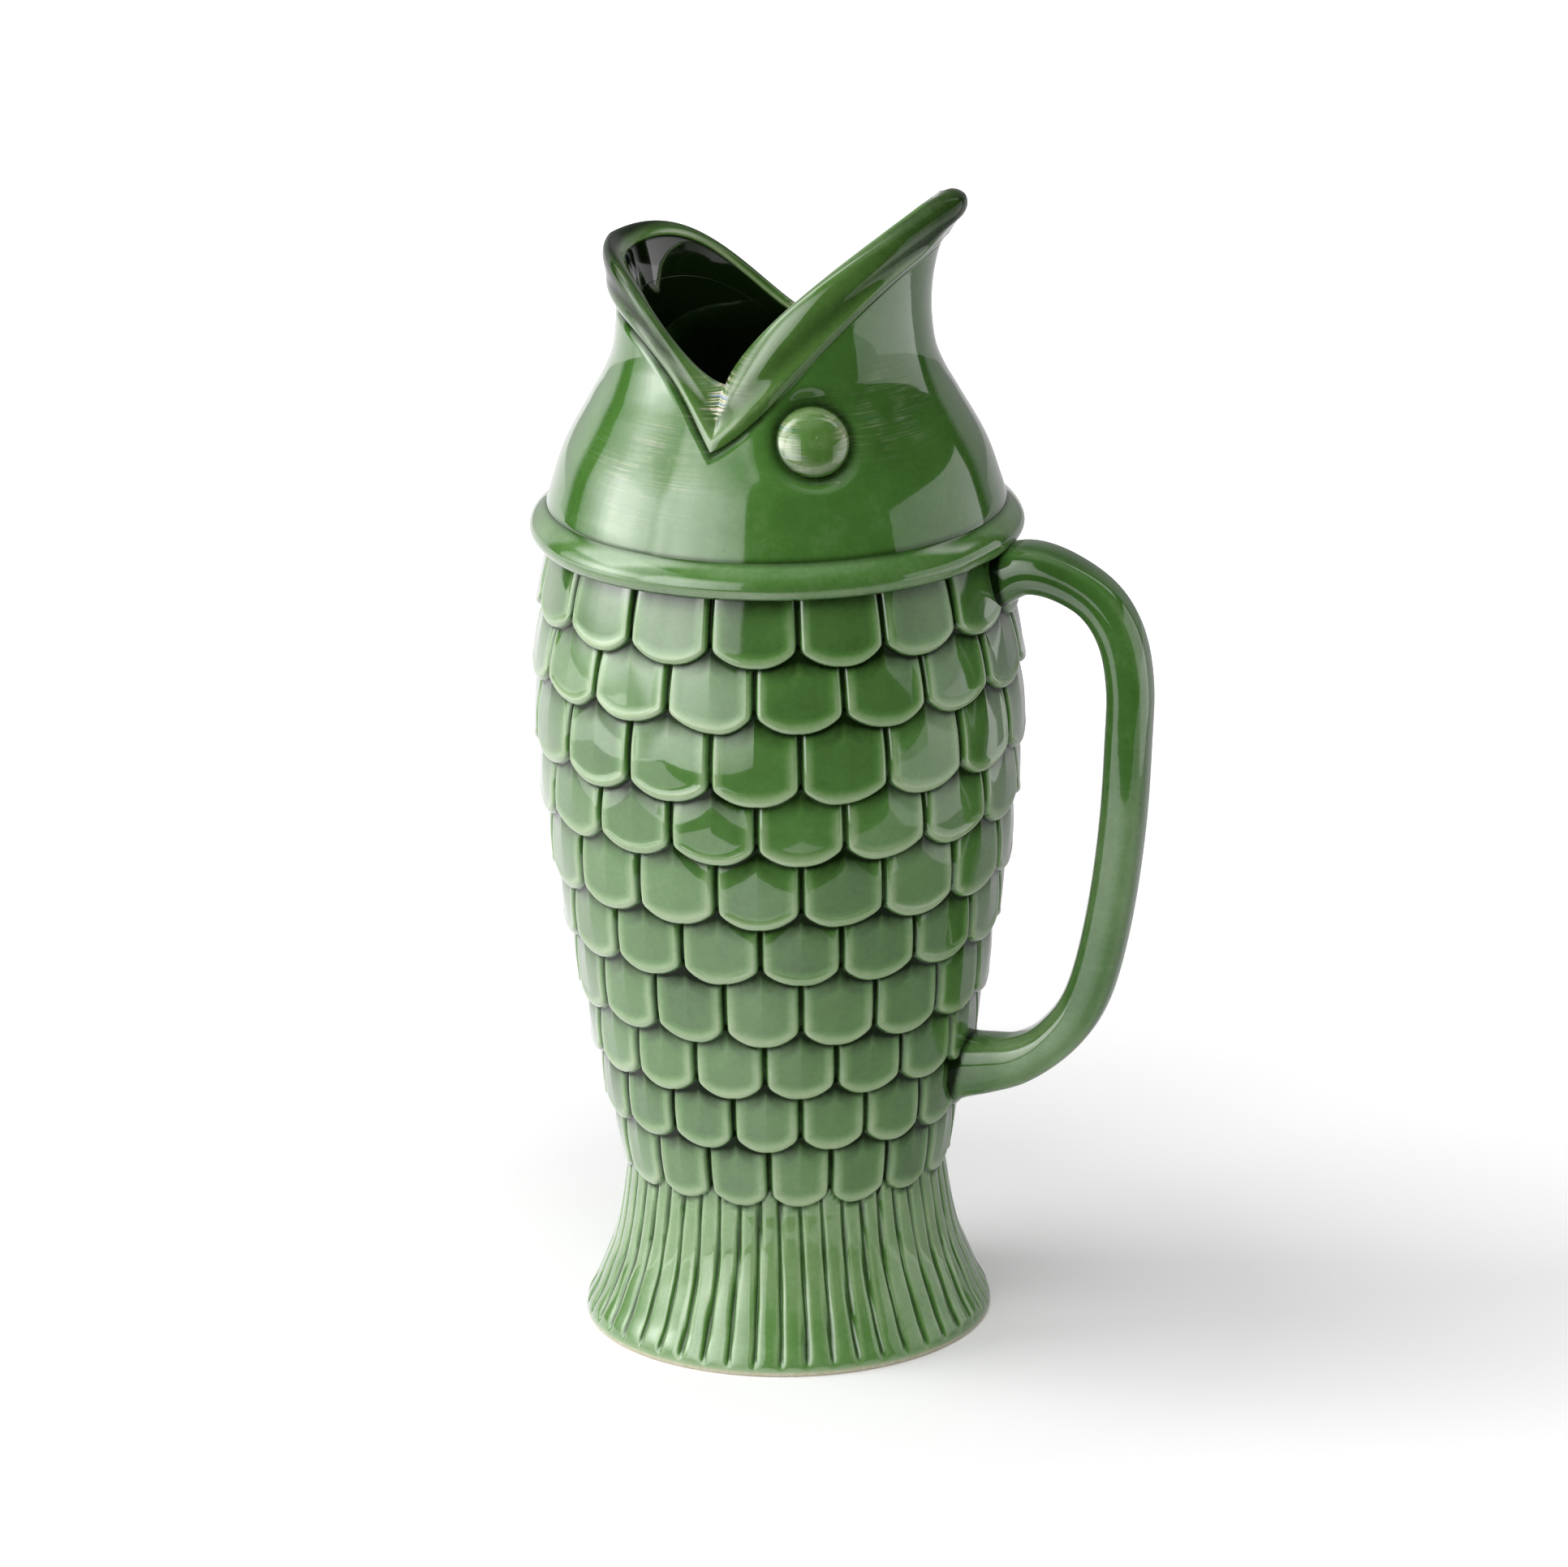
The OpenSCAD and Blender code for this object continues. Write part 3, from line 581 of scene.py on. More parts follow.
@dataclass
class ScaledTrunk:
    """The trunk, covered by ten rows of overlapping round-ended scales.

    The rows are listed by their share of the way down, and the columns by their share of
    half a scale. A row's rings lie at heights over its lower edge and below its upper one,
    and at shares of the way between. The hang is that of the top row and of the lowest.
    """

    form: JugForm
    tail: FlutedTail
    count: int = 17
    turn: float = 0.9
    hang: tuple[float, float] = (4.9, 4.3)
    step: float = 1.8
    groove_d: float = 1.0
    groove_w: float = 1.3
    notch_d: float = 1.1
    side_d: float = 0.75
    side_w: float = 3.6
    rim_d: float = 1.0
    rim_w: float = 1.5
    first_drop: float = 12.8
    last_h: float = 7.0
    power: float = 2.4
    dish_d: float = 0.32
    corner_r: float = 1.9
    sink: float = 0.03
    face_pool: float = 0.57
    face_vary: float = 0.07
    groove_and_shade_fill: float = 0.43
    rim_thin: float = 0.48
    seed: int = 11
    places: tuple[float, ...] = (0, 0.11, 0.238, 0.345, 0.462, 0.569, 0.685, 0.787, 0.89, 1)
    across: tuple[float, ...] = (
        *(0, 0.02, 0.045, 0.075, 0.11, 0.16, 0.23, 0.33),
        *(0.46, 0.6, 0.72, 0.82, 0.885, 0.93, 0.96, 0.982),
    )
    near_low: tuple[float, ...] = (0.0, 0.25, 0.6, 1.05, 1.6, 2.3, 3.2, 4.3)
    between: tuple[float, ...] = (0.25, 0.5, 0.75)
    near_high: tuple[float, ...] = (2.6, 1.7, 1.0, 0.45)
    skirt_rise: tuple[float, ...] = (0.0, 0.06, 1.2, 2.4, 3.6, 4.8, 6.0, 7.2, 8.4)
    inner_z: tuple[float, ...] = (174.0, 137.0, 105.0, 74.0, 60.0)

    def __post_init__(self) -> None:
        """Draws each scale's own small differences, the same on every run."""
        rng = np.random.default_rng(self.seed)
        self.vary = rng.uniform(-1, 1, (4, len(self.places) + 1, self.count))

    def turns(self) -> Array:
        """Azimuths of the columns, closest about the joints of even and odd rows."""
        half = 180.0 / self.count
        return self.turn + ((np.arange(2 * self.count)[:, None] + np.array(self.across)) * half).ravel()

    def row_z(self, row: int) -> float:
        """Height of the corners at the lower edge of a row, counted from 0 at the top."""
        top = self.form.collar_z - self.first_drop
        return mix(top, self.form.foot_h + self.last_h, self.places[row])

    def across_scale(self, row: int, turn: Array) -> tuple[Array, NDArray[np.int64]]:
        """Place across its scale, 0 to 1, and the scale's number, of each azimuth in a row."""
        s = (turn - self.turn) * self.count / 360.0 - (row % 2) / 2
        return s - np.floor(s + 1e-9), np.floor(s + 1e-9).astype(int) % self.count

    def edge(self, row: int, turn: Array) -> Array:
        """Height of a row's lower edge: the corner less a rounded hang, a little uneven.

        The hang is its depth times 1 - |2s - 1|^p at a share s across the scale.

        Args:
            row: the row's number from the top.
            turn: azimuths.

        Returns:
            The heights.
        """
        s, number = self.across_scale(row, turn)
        lean = 0.35 * self.vary[1, row, number] * np.sin(2 * np.pi * s)
        hang = mix(*self.hang, row / (len(self.places) - 1)) * (1 + 0.05 * self.vary[0, row, number])
        return self.row_z(row) - hang * (1 - np.abs(2 * s - 1) ** self.power) + lean

    def row(self, row: int) -> list[tuple[Any, ...]]:
        """One row of scales, from under its lower edge up to the edge of the row above.

        A point's depth below the outline adds up: the scale leans in towards its top, its
        face is dished inside a raised rim, the rim rounds over at its sides and its lower
        edge, and a groove about 2.6 mm wide parts it from its neighbours. Glaze fills the
        grooves. Painted shade darkens each scale under the row above, most of all under the
        V between two of its scales, and softly beside the grooves higher up; the underside of
        the rim takes the deepest tone, pooled glaze and painted shadow. The glaze runs thin over
        the rim, and each scale has a tone of its own.

        Args:
            row: the row's number from the top.

        Returns:
            The parts of the surface: the underside of the rim and the scales.
        """
        form, turn = self.form, self.turns()
        low = self.edge(row, turn)
        high = self.edge(row - 1, turn) if row else np.full_like(turn, form.collar_z + 0.4)
        s, number = self.across_scale(row, turn)
        rings = (self.near_low, self.between, self.near_high)
        near_low, between, near_high = (np.array(values)[:, None] for values in rings)
        middle = mix(low + near_low[-1], high - near_high[0], between)
        z = np.concatenate([low + near_low, middle, high - near_high])
        up, down = z - low, high - z
        outline = form.trunk_out(z)
        pitch = 2 * np.pi * outline / self.count
        away = np.minimum(s, 1 - s) * pitch
        corner = (away < self.corner_r) & (up < self.corner_r)
        rounded = self.corner_r - np.hypot(self.corner_r - away, self.corner_r - up)
        inset = np.where(corner, rounded, np.minimum(away, up))

        lean = self.step * np.clip(up / (high - low), 0, 1) ** 1.9
        dish = self.dish_d * (1 + 0.35 * self.vary[2, row, number]) * ease(inset, 1.2, 3.4)
        sides = self.side_d * (1 - np.clip(away / self.side_w, 0, 1)) ** 2
        rim = self.rim_d * (1 - np.clip(np.where(corner, inset, up) / self.rim_w, 0, 1)) ** 2.1
        groove = self.groove_d * fade(away, 0.0, self.groove_w) + self.notch_d * ease(-inset, -0.1, 0.7)
        depth = self.sink + lean + dish + np.maximum(sides, rim) + groove

        # Dark joints and the notch under the rim hold pooled glaze; shade is painted shade under the row
        # above, reaching further under its V
        joint = 0.88 * fade(away, 0.25, 1.45)
        notch = fade(inset, -0.3, 0.35) * (up > 0.3)
        under_v = bump((s - 0.5) * pitch, 0.0, 3.2) * min(row, 1)
        shade = 0.95 * fade(down, 0.35, 2.0 + 1.6 * under_v)
        darkened = np.clip(np.maximum(np.maximum(joint, notch), shade), 0, 1)
        thin = ease(inset, 0.1, 0.6) * fade(inset, 1.1, 4.2) * (1 - darkened)
        # Softer painted shade towards the top of each scale, under the V and beside the grooves higher up
        soft = 0.14 * fade(down, 0.5, 6.0) + 0.3 * under_v * fade(down, 1.0, 6.5)
        soft = soft + 0.16 * fade(away, 0.8, 3.2) * ease(up, 3.0, 8.0)
        face = self.face_pool + self.face_vary * self.vary[3, row, number]
        pool_and_shade = face + self.groove_and_shade_fill * darkened + soft * (1 - darkened) - self.rim_thin * thin
        # The underside of the rim, back to the top of the row below, in the deepest tone: pooled glaze and
        # painted shadow under the rim
        under_z = low - 0.3
        under = ring_points(form.trunk_out(under_z) - self.step - 0.25, turn, under_z)[None]
        return [(under, 1.0), (ring_points(outline - depth, turn, z), pool_and_shade)]

    def skirt(self) -> Surface:
        """The short fluted band on the trunk between the last row of scales and the tail.

        Its radius leaves the waist as r - 0.15 h + 0.015 h^2 at a height h over the seam.

        Returns:
            The band, closed at its back.
        """
        form, turn = self.form, self.tail.turns()
        rise = np.array(self.skirt_rise)[:, None] + 0 * turn
        z = form.foot_h + rise
        radius = form.waist_r - 0.15 * rise + 0.015 * rise**2
        depth, pool_and_shade = self.tail.relief(turn, z, radius)
        # Painted shade just under the lowest row of scales
        shade = 0.92 * fade(self.edge(len(self.places) - 1, turn) - z, 0.1, 1.5)
        outside = (ring_points(radius - depth, turn, z), np.maximum(pool_and_shade, shade))
        return Surface(outside, (ring_points(form.waist_r - 3.0, turn, z[[-1, 0]]), 1.0))

    def build(self) -> bpy.types.Object:
        """Builds the trunk: rows of scales outside, a smooth wall inside.

        Returns:
            The trunk.
        """
        form, turn = self.form, self.turns()
        scales = [part for row in reversed(range(len(self.places))) for part in self.row(row)]
        first = ring_points(form.waist_r - 1.8, turn, form.foot_h)[None]
        seam_z = form.collar_z + form.collar_lap
        top_r = np.array([[form.head_r + 0.3], [form.head_r]])
        top = ring_points(top_r, turn, np.array([[form.collar_z + 0.2], [seam_z]]))
        inner_z = np.array([seam_z, *self.inner_z, form.foot_h])[:, None]
        inner_r = form.trunk_out(inner_z) - form.wall - 0.9
        inner_r[0], inner_r[-1] = form.head_r - form.wall, form.waist_r - form.wall
        wall = (ring_points(inner_r, turn, inner_z), 0.85)
        piece = build_mesh("scaled_trunk", Surface((first, 1.0), *scales, (top, 1.0), wall), self.skirt())
        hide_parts("trunk")
        return piece


@dataclass
class CollarBand:
    """The rolled band of clay that covers the seam between the trunk and the head."""

    form: JugForm
    proud: float = 4.2
    low_h: float = 3.0
    under: float = 50.0
    fall: float = 2.4
    columns: int = 360

    def build(self) -> bpy.types.Object:
        """Builds the band: a rounded underside, and a long fall inwards to the head.

        The section is an arc below its widest line, and above it the reach shrinks as the
        cosine of the arc to a power, so that it runs out thin against the head. Low sines
        round the jug make it as uneven as a band rolled by hand.

        Returns:
            The band.
        """
        form = self.form
        wide_z = form.collar_z + self.low_h
        a = np.radians(np.linspace(-self.under, 0, 14))[:-1]
        b = np.radians(np.linspace(0, 90, 26))
        low = self.low_h * np.sin(a) / np.sin(np.radians(self.under))
        high = (form.collar_h - self.low_h) * np.sin(b)
        out = np.concatenate([[0.0], np.cos(a), np.cos(b) ** self.fall])[:, None]
        z = np.concatenate([[form.collar_z], wide_z + low, wide_z + high])[:, None]
        turn = np.linspace(0, 360, self.columns, endpoint=False)[None]
        t = np.radians(turn)
        wave = 0.1 * np.sin(3 * t + 0.8) + 0.07 * np.sin(8 * t) + 0.05 * np.sin(17 * t + 2)
        radius = form.head_r + 0.05 + (self.proud + wave) * out
        share = (z - form.collar_z) / form.collar_h
        # Darker on the band's underside and where it meets the head, pooled glaze and painted shade there;
        # a paler line low on the roll
        pool_and_shade = 0.45 + 0.45 * fade(share, 0.0, 0.1) + 0.32 * ease(share, 0.86, 1.0)
        pool_and_shade = pool_and_shade - 0.16 * bump(share, 0.2, 0.1)
        points = ring_points(radius, turn, z + 0.12 * np.sin(5 * t + 1.3) * out)
        piece = build_mesh("rolled_collar", Surface((points, pool_and_shade)))
        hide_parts("collar_band")
        return piece


class Lip(Enum):
    """The two lips: two powers of the rise, that of the reach, and two of the groove's rise."""

    TALL = (0.73, 1.22, 2.7, 1.25, 2.0)
    LOW = (1.7, 4.3, 0.6, 1.0, 3.2)


@dataclass
class Mouth:
    """The mouth's edge, column by column.

    A column's azimuth is folded to -90 at the low lip's middle and 90 at the tall lip's. The
    two lips meet in a V, the corner.
    """

    form: JugForm
    corner_turn: float = -2.5
    corner_h: float = 37.4
    corner_r: float = 33.7
    tall_h: float = 81.6
    tall_r: float = 42.6
    low_h: float = 62.7
    low_r: float = 37.0
    corner_band: float = 13.3
    tall_band: float = 14.7
    low_band: float = 11.3
    groove_d: float = 0.7
    far_sag: float = 1.7
    tip_dip: float = 1.2
    tip_round: float = 0.06
    tall_columns: int = 232
    low_columns: int = 184

    def __post_init__(self) -> None:
        """Works out each column's azimuth, its folded azimuth and its share from corner to lip."""
        c = self.corner_turn
        tall = c + (180 - 2 * c) * np.arange(self.tall_columns) / self.tall_columns
        low = 180 - c + (180 + 2 * c) * np.arange(self.low_columns) / self.low_columns
        self.turn = np.concatenate([tall, low])
        far = np.where(self.turn <= 270, 180 - self.turn, self.turn - 360)
        self.fold = np.where(self.turn <= 90, self.turn, far)
        self.tall = self.fold >= c
        self.share = np.clip(self.pick((self.fold - c) / (90 - c), (c - self.fold) / (90 + c)), 0, 1)

    def pick(self, tall: Array | float, low: Array | float) -> Array:
        """Takes one value at the tall lip's columns and another at the low lip's."""
        return np.where(self.tall, tall, low)

    def rise(self, index: int) -> Array:
        """Rise from corner to lip, 1 - (1 - s^a)^b, with the lip's own powers from an index on."""
        a, b = (self.pick(Lip.TALL.value[k], Lip.LOW.value[k]) for k in (index, index + 1))
        return 1 - (1 - self.share**a) ** b

    def crest(self) -> tuple[Array, Array]:
        """Radius and height of the mouth's inner edge at each column.

        The far half of the tall lip sags by a half sine, and the lip's tip dips. The reach
        is a power of the share, which a hyperbola rounds off at the tall lip's tip.

        Returns:
            The radii and the heights.
        """
        sag = self.far_sag * np.sin(np.pi * self.share**0.8) * (self.tall & (self.turn > 90))
        dip = self.tip_dip * ease(self.share, 0.88, 1.0) * self.tall
        top = self.pick(self.tall_h, self.low_h)
        z = self.form.head_z + mix(self.corner_h, top, self.rise(0)) - sag - dip
        share = self.pick(1 + self.tip_round - np.hypot(1 - self.share, self.tip_round), self.share)
        share = np.clip(share, 0, 1) ** self.pick(Lip.TALL.value[2], Lip.LOW.value[2])
        return mix(self.corner_r, self.pick(self.tall_r, self.low_r), share), z

    def groove(self) -> tuple[Array, Array]:
        """Radius and height of the groove under the lip band, its depth in from the head's outline.

        Returns:
            The radii and the heights.
        """
        top = self.pick(self.tall_h - self.tall_band, self.low_h - self.low_band)
        z = self.form.head_z + mix(self.corner_h - self.corner_band, top, self.rise(3))
        return self.form.head_out(z) - self.groove_depth(), z

    def groove_depth(self) -> Array:
        """Depth of the groove under the band, which fades out towards the tip of the tall lip."""
        return self.groove_d * self.pick(1 - 0.95 * ease(self.share, 0.12, 0.42), 1.0)

    def inside(self, z: Array) -> Array:
        """Radius of the inner wall, eased from the head's wall to the mouth's edge.

        Args:
            z: heights, by columns.

        Returns:
            The head's inner radius, plus what the edge lacks of it by the square of the way.
        """
        crest_r, crest_z = self.crest()
        start = self.form.head_z + self.corner_h - self.corner_band
        s = np.clip((z - start) / (crest_z - start), 0, 1)
        lack = crest_r - self.form.head_out(crest_z) + self.form.wall
        return self.form.head_out(z) - self.form.wall + lack * s**2


class Side(Enum):
    """The flank of an eye, as the factor on Y that brings the left eye there."""

    LEFT = 1
    RIGHT = -1


@dataclass
class Eyes:
    """Two smooth button eyes, each in a shallow ring-shaped dip filled with glaze."""

    form: JugForm
    turn: float = 29.3
    height: float = 27.2
    radius: float = 9.2
    rise: float = 5.1
    sink: float = 1.7
    press_gap: float = 0.4
    press_w: float = 4.6
    swell: float = 0.2
    swell_gap: float = 5.5
    swell_w: float = 2.4

    def __post_init__(self) -> None:
        """Places the left eye's centre and its outward direction."""
        z, r = self.form.head_z + self.height, self.radius
        below, here, above = self.form.head_out(np.array([z - r / 2, z, z + r / 2]))
        lean, t = np.arctan2(below - above, r), np.radians(self.turn)
        self.axis = np.array([np.cos(lean) * np.sin(t), -np.cos(lean) * np.cos(t), np.sin(lean)])
        self.centre = ring_points(here, self.turn, z)

    def press(self, points: Array) -> tuple[Array, Array]:
        """Presses points near an eye back to its seat, fading out over about 4 mm around it.

        A point moves along the eye's axis, from its height over the eye's centre down to the
        seat. Further out the head swells a little, as pressed clay does.

        Args:
            points: points of the head's outside.

        Returns:
            The moved points, and each point's distance from the eye's axis.
        """
        mirror = np.where(points[..., 1:2] > 0, [1, -1, 1], 1)
        offset = points * mirror - self.centre
        high = offset @ self.axis
        off = np.linalg.norm(offset - high[..., None] * self.axis, axis=-1)
        near = fade(off, self.radius + self.press_gap, self.radius + self.press_w)
        swell = self.swell * bump(off, self.radius + self.swell_gap, self.swell_w)
        move = (np.minimum(high, -self.sink) - high) * near + swell
        return points + move[..., None] * self.axis * mirror, off

    def build(self, side: Side) -> bpy.types.Object:
        """Builds one eye: a dome of height h (1 - (r / R)^2.3)^0.75 on a flat back.

        Args:
            side: the flank that the eye sits on.

        Returns:
            The eye.
        """
        share = np.concatenate([np.linspace(0, 0.9, 16), np.linspace(0.92, 1.0, 8)])
        dome = self.rise * (1 - share**2.3) ** 0.75
        radial = np.concatenate([[0.0], share[::-1]])[:, None] * self.radius
        up = np.concatenate([[0.0], dome[::-1]])[:, None]
        a = np.linspace(0, 2 * np.pi, 72, endpoint=False)[None]
        level = np.cross([0, 0, 1.0], self.axis)
        level /= np.linalg.norm(level)
        across = np.cross(self.axis, level)
        seat = self.centre - self.axis * (self.sink + 0.15)
        points = seat + (radial * np.cos(a))[..., None] * level + (radial * np.sin(a))[..., None] * across
        points = (points + up[..., None] * self.axis) * [1, side.value, 1]
        place = radial / self.radius
        pool_and_shade = 0.52 + 0.43 * ease(place, 0.93, 1.0) - 0.16 * bump(place, 0.8, 0.13)
        lustre = ease(place, 0.35, 0.75) * fade(place, 0.93, 1.0) * np.abs(np.cos(a))
        surface = Surface((points[:, :: side.value], pool_and_shade, lustre))
        piece = build_mesh(f"eye_button_{side.name.lower()}", surface)
        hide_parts(f"eye_{side.name.lower()}")
        return piece


@dataclass
class Head:
    """The smooth head, from the seam under the collar band up to the groove under the lip.

    Each brushed patch of lustre has a strength, a folded azimuth, a width, a height and a
    spread in height.
    """

    form: JugForm
    mouth: Mouth
    eyes: Eyes
    rings: int = 84
    brushed: tuple[tuple[float, ...], ...] = ((0.72, -22, 16, 234, 10), (0.6, 58, 17, 246, 8))

    def build(self) -> bpy.types.Object:
        """Builds the head: the outside with its eye sockets, and the inside wall.

        The outside is the outline with a shallow wave, a product of sines, that dips into
        the lip's groove. Glaze pools in that groove, round the eyes and at the collar band.
        Painted shadow darkens the groove under the lip, most near the corner, and painted shade
        lies just above the collar band and on a patch of the head past the eye, towards the
        handle. The inner wall takes the deepest tone, painted shade inside the mouth.

        Returns:
            The head.
        """
        form, mouth = self.form, self.mouth
        seam_z = form.collar_z + form.collar_lap
        band_z = mouth.groove()[1]
        share = np.linspace(0, 1, self.rings)[:, None]
        z = mix(form.head_z - 0.4, band_z, share**0.92)
        below = band_z - z
        dip = mouth.groove_depth() * fade(below, 0.0, 2.4)
        radius = form.head_out(np.maximum(z, form.head_z)) - dip
        wave = 0.12 * np.sin(np.radians(3 * mouth.turn + 40)) * np.sin(z * 0.07)
        outer, off = self.eyes.press(ring_points(radius + wave, mouth.turn, z))
        ring = bump(off, self.eyes.radius + 0.3, 1.3)
        # Pooled glaze and painted shadow in the groove under the lip, widest near the corner; painted shade
        # just above the collar band and on a patch past the eye towards the handle
        groove_and_shadow = fade(below, 0.3, 1.5 + 1.2 * (1 - mouth.share)) * mouth.groove_depth() / mouth.groove_d
        seat = fade(z - form.head_z, 0.1, 1.5)
        shaded_cheek = bump(mouth.fold, 52, 26) * bump(z, 247, 14)
        pool_and_shade = 0.5 + 0.34 * ring + 0.42 * groove_and_shadow + 0.3 * seat + 0.15 * shaded_cheek
        lustre = sum(
            much * bump(mouth.fold, turn, wide) * bump(z, *at) for much, turn, wide, *at in self.brushed
        )
        first = ring_points(form.head_r, mouth.turn, seam_z)[None]
        # The ring at 0.997 keeps the shading level beside the corner of the inner wall
        inner_z = mix(seam_z, band_z, np.concatenate([[1.0, 0.997], np.linspace(0.92, 0, 11)])[:, None])
        # The inner wall takes the deepest tone: painted shade inside the mouth
        wall = (ring_points(mouth.inside(inner_z), mouth.turn, inner_z), 2.0)
        piece = build_mesh("smooth_head", Surface((first, 1.0), (outer, pool_and_shade, lustre), wall))
        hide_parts("head")
        return piece


@dataclass
class MouthLip:
    """The rolled band of clay around the mouth, from its groove over the roll to the inner edge."""

    mouth: Mouth
    corner_swell: float = 1.4
    tall_swell: float = 1.2
    low_swell: float = 3.9
    corner_roll: float = 2.1
    tall_roll: float = 12.3
    low_roll: float = 10.2
    corner_rise: float = 5.0
    tall_rise: float = 1.0
    low_rise: float = 10.0
    swell_rise: float = 1.0
    ridge_h: float = 0.35
    channel_d: float = 0.4
    rings: int = 48
    knob_out: Curve = Curve(
        *((0, 0), (0.15, 1.6), (0.3, 3.85), (0.42, 6.1), (0.55, 7.1)),
        *((0.68, 6.6), (0.8, 4.7), (0.9, 2.4), (1, 0)),
    )
    knob_up: Curve = Curve(
        *((0, 0), (0.15, 1.2), (0.3, 1.9), (0.42, 2.5), (0.55, 3.4)),
        *((0.68, 4.1), (0.8, 3.75), (0.9, 2.55), (1, 0)),
    )

    def build(self) -> bpy.types.Object:
        """Builds the lip: the outside is a cubic Bezier from the groove to the inner edge.

        Its two inner control points lie outwards by the swell and by the roll, and a little
        up. The tip of the tall lip blends into a round knob, drawn as offsets from the
        straight line between band and edge. A soft ridge runs along the band, with a shallow
        channel inside it.

        Returns:
            The lip.
        """
        mouth, m = self.mouth, self.mouth.share
        band_r, band_z = mouth.groove()
        crest_r, crest_z = mouth.crest()
        swell = mix(self.corner_swell, mouth.pick(self.tall_swell, self.low_swell), m)
        roll = mix(self.corner_roll, mouth.pick(self.tall_roll, self.low_roll), m)
        up = mix(self.corner_rise, mouth.pick(self.tall_rise, self.low_rise), np.sqrt(m))
        s = np.linspace(0, 1, self.rings)[:, None]
        weights = ((1 - s) ** 3, 3 * s * (1 - s) ** 2, 3 * s**2 * (1 - s), s**3)
        radius = sum(w * r for w, r in zip(weights, (band_r, band_r + swell, crest_r + roll, crest_r)))
        z = sum(w * h for w, h in zip(weights, (band_z, band_z + self.swell_rise, crest_z + up, crest_z)))
        knob = ease(m, 0.82, 0.98) * mouth.tall
        radius = mix(radius, mix(band_r, crest_r, s) + self.knob_out(s), knob)
        z = mix(z, mix(band_z, crest_z, s) + self.knob_up(s), knob)
        ridge, channel = bump(s, 0.24, 0.08), bump(s, 0.42, 0.1)
        proud = self.ridge_h * ridge - self.channel_d * channel * fade(m, 0.8, 1)
        outer = ring_points(radius + proud, mouth.turn, z)
        # The inner wall starts a little in from the edge and fades back to the head's wall
        shares = np.concatenate([[0.012, 0.04], np.linspace(0.12, 0.92, 11), [0.997, 1.0]])
        inner_z = mix(crest_z, band_z, shares[:, None])
        inner_z[0] = crest_z - 0.15
        drop = crest_z - inner_z
        inset = 0.15 * (1 - np.exp(-drop / 0.3)) * fade(drop / (crest_z - band_z), 0.3, 1.0)
        inner = ring_points(mouth.inside(inner_z) - inset, mouth.turn, inner_z)

        grooved = mouth.groove_depth() / mouth.groove_d
        tips = 0.3 * ease(m, 0.45, 1.0) * ease(s, 0.15, 0.5)
        # Painted shade, darker and less glossy, on the low lip's band away from the corner
        low_side_shade = mouth.pick(0.0, 0.2) * ease(m, 0.08, 0.3) * ease(s, 0.1, 0.3) * fade(s, 0.85, 0.97)
        pool_and_shade = 0.6 + low_side_shade + tips + 0.38 * fade(s, 0.0, 0.1) * grooved - 0.35 * ease(s, 0.93, 0.995)
        pool_and_shade = pool_and_shade - 0.14 * ridge + 0.12 * channel
        corner = bump(mouth.fold, mouth.corner_turn, 7.5)
        lustre = 1.2 * corner * ease(s, 0.26, 0.5) * fade(s, 0.9, 0.99)
        # The inner wall deepens to the deepest tone: painted shade inside the mouth
        wall = (inner, mix(0.35, 2.0, ease(drop, 0.1, 1.8)))
        piece = build_mesh("rolled_lip", Surface((outer, pool_and_shade, lustre), wall))
        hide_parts("mouth_lip")
        return piece


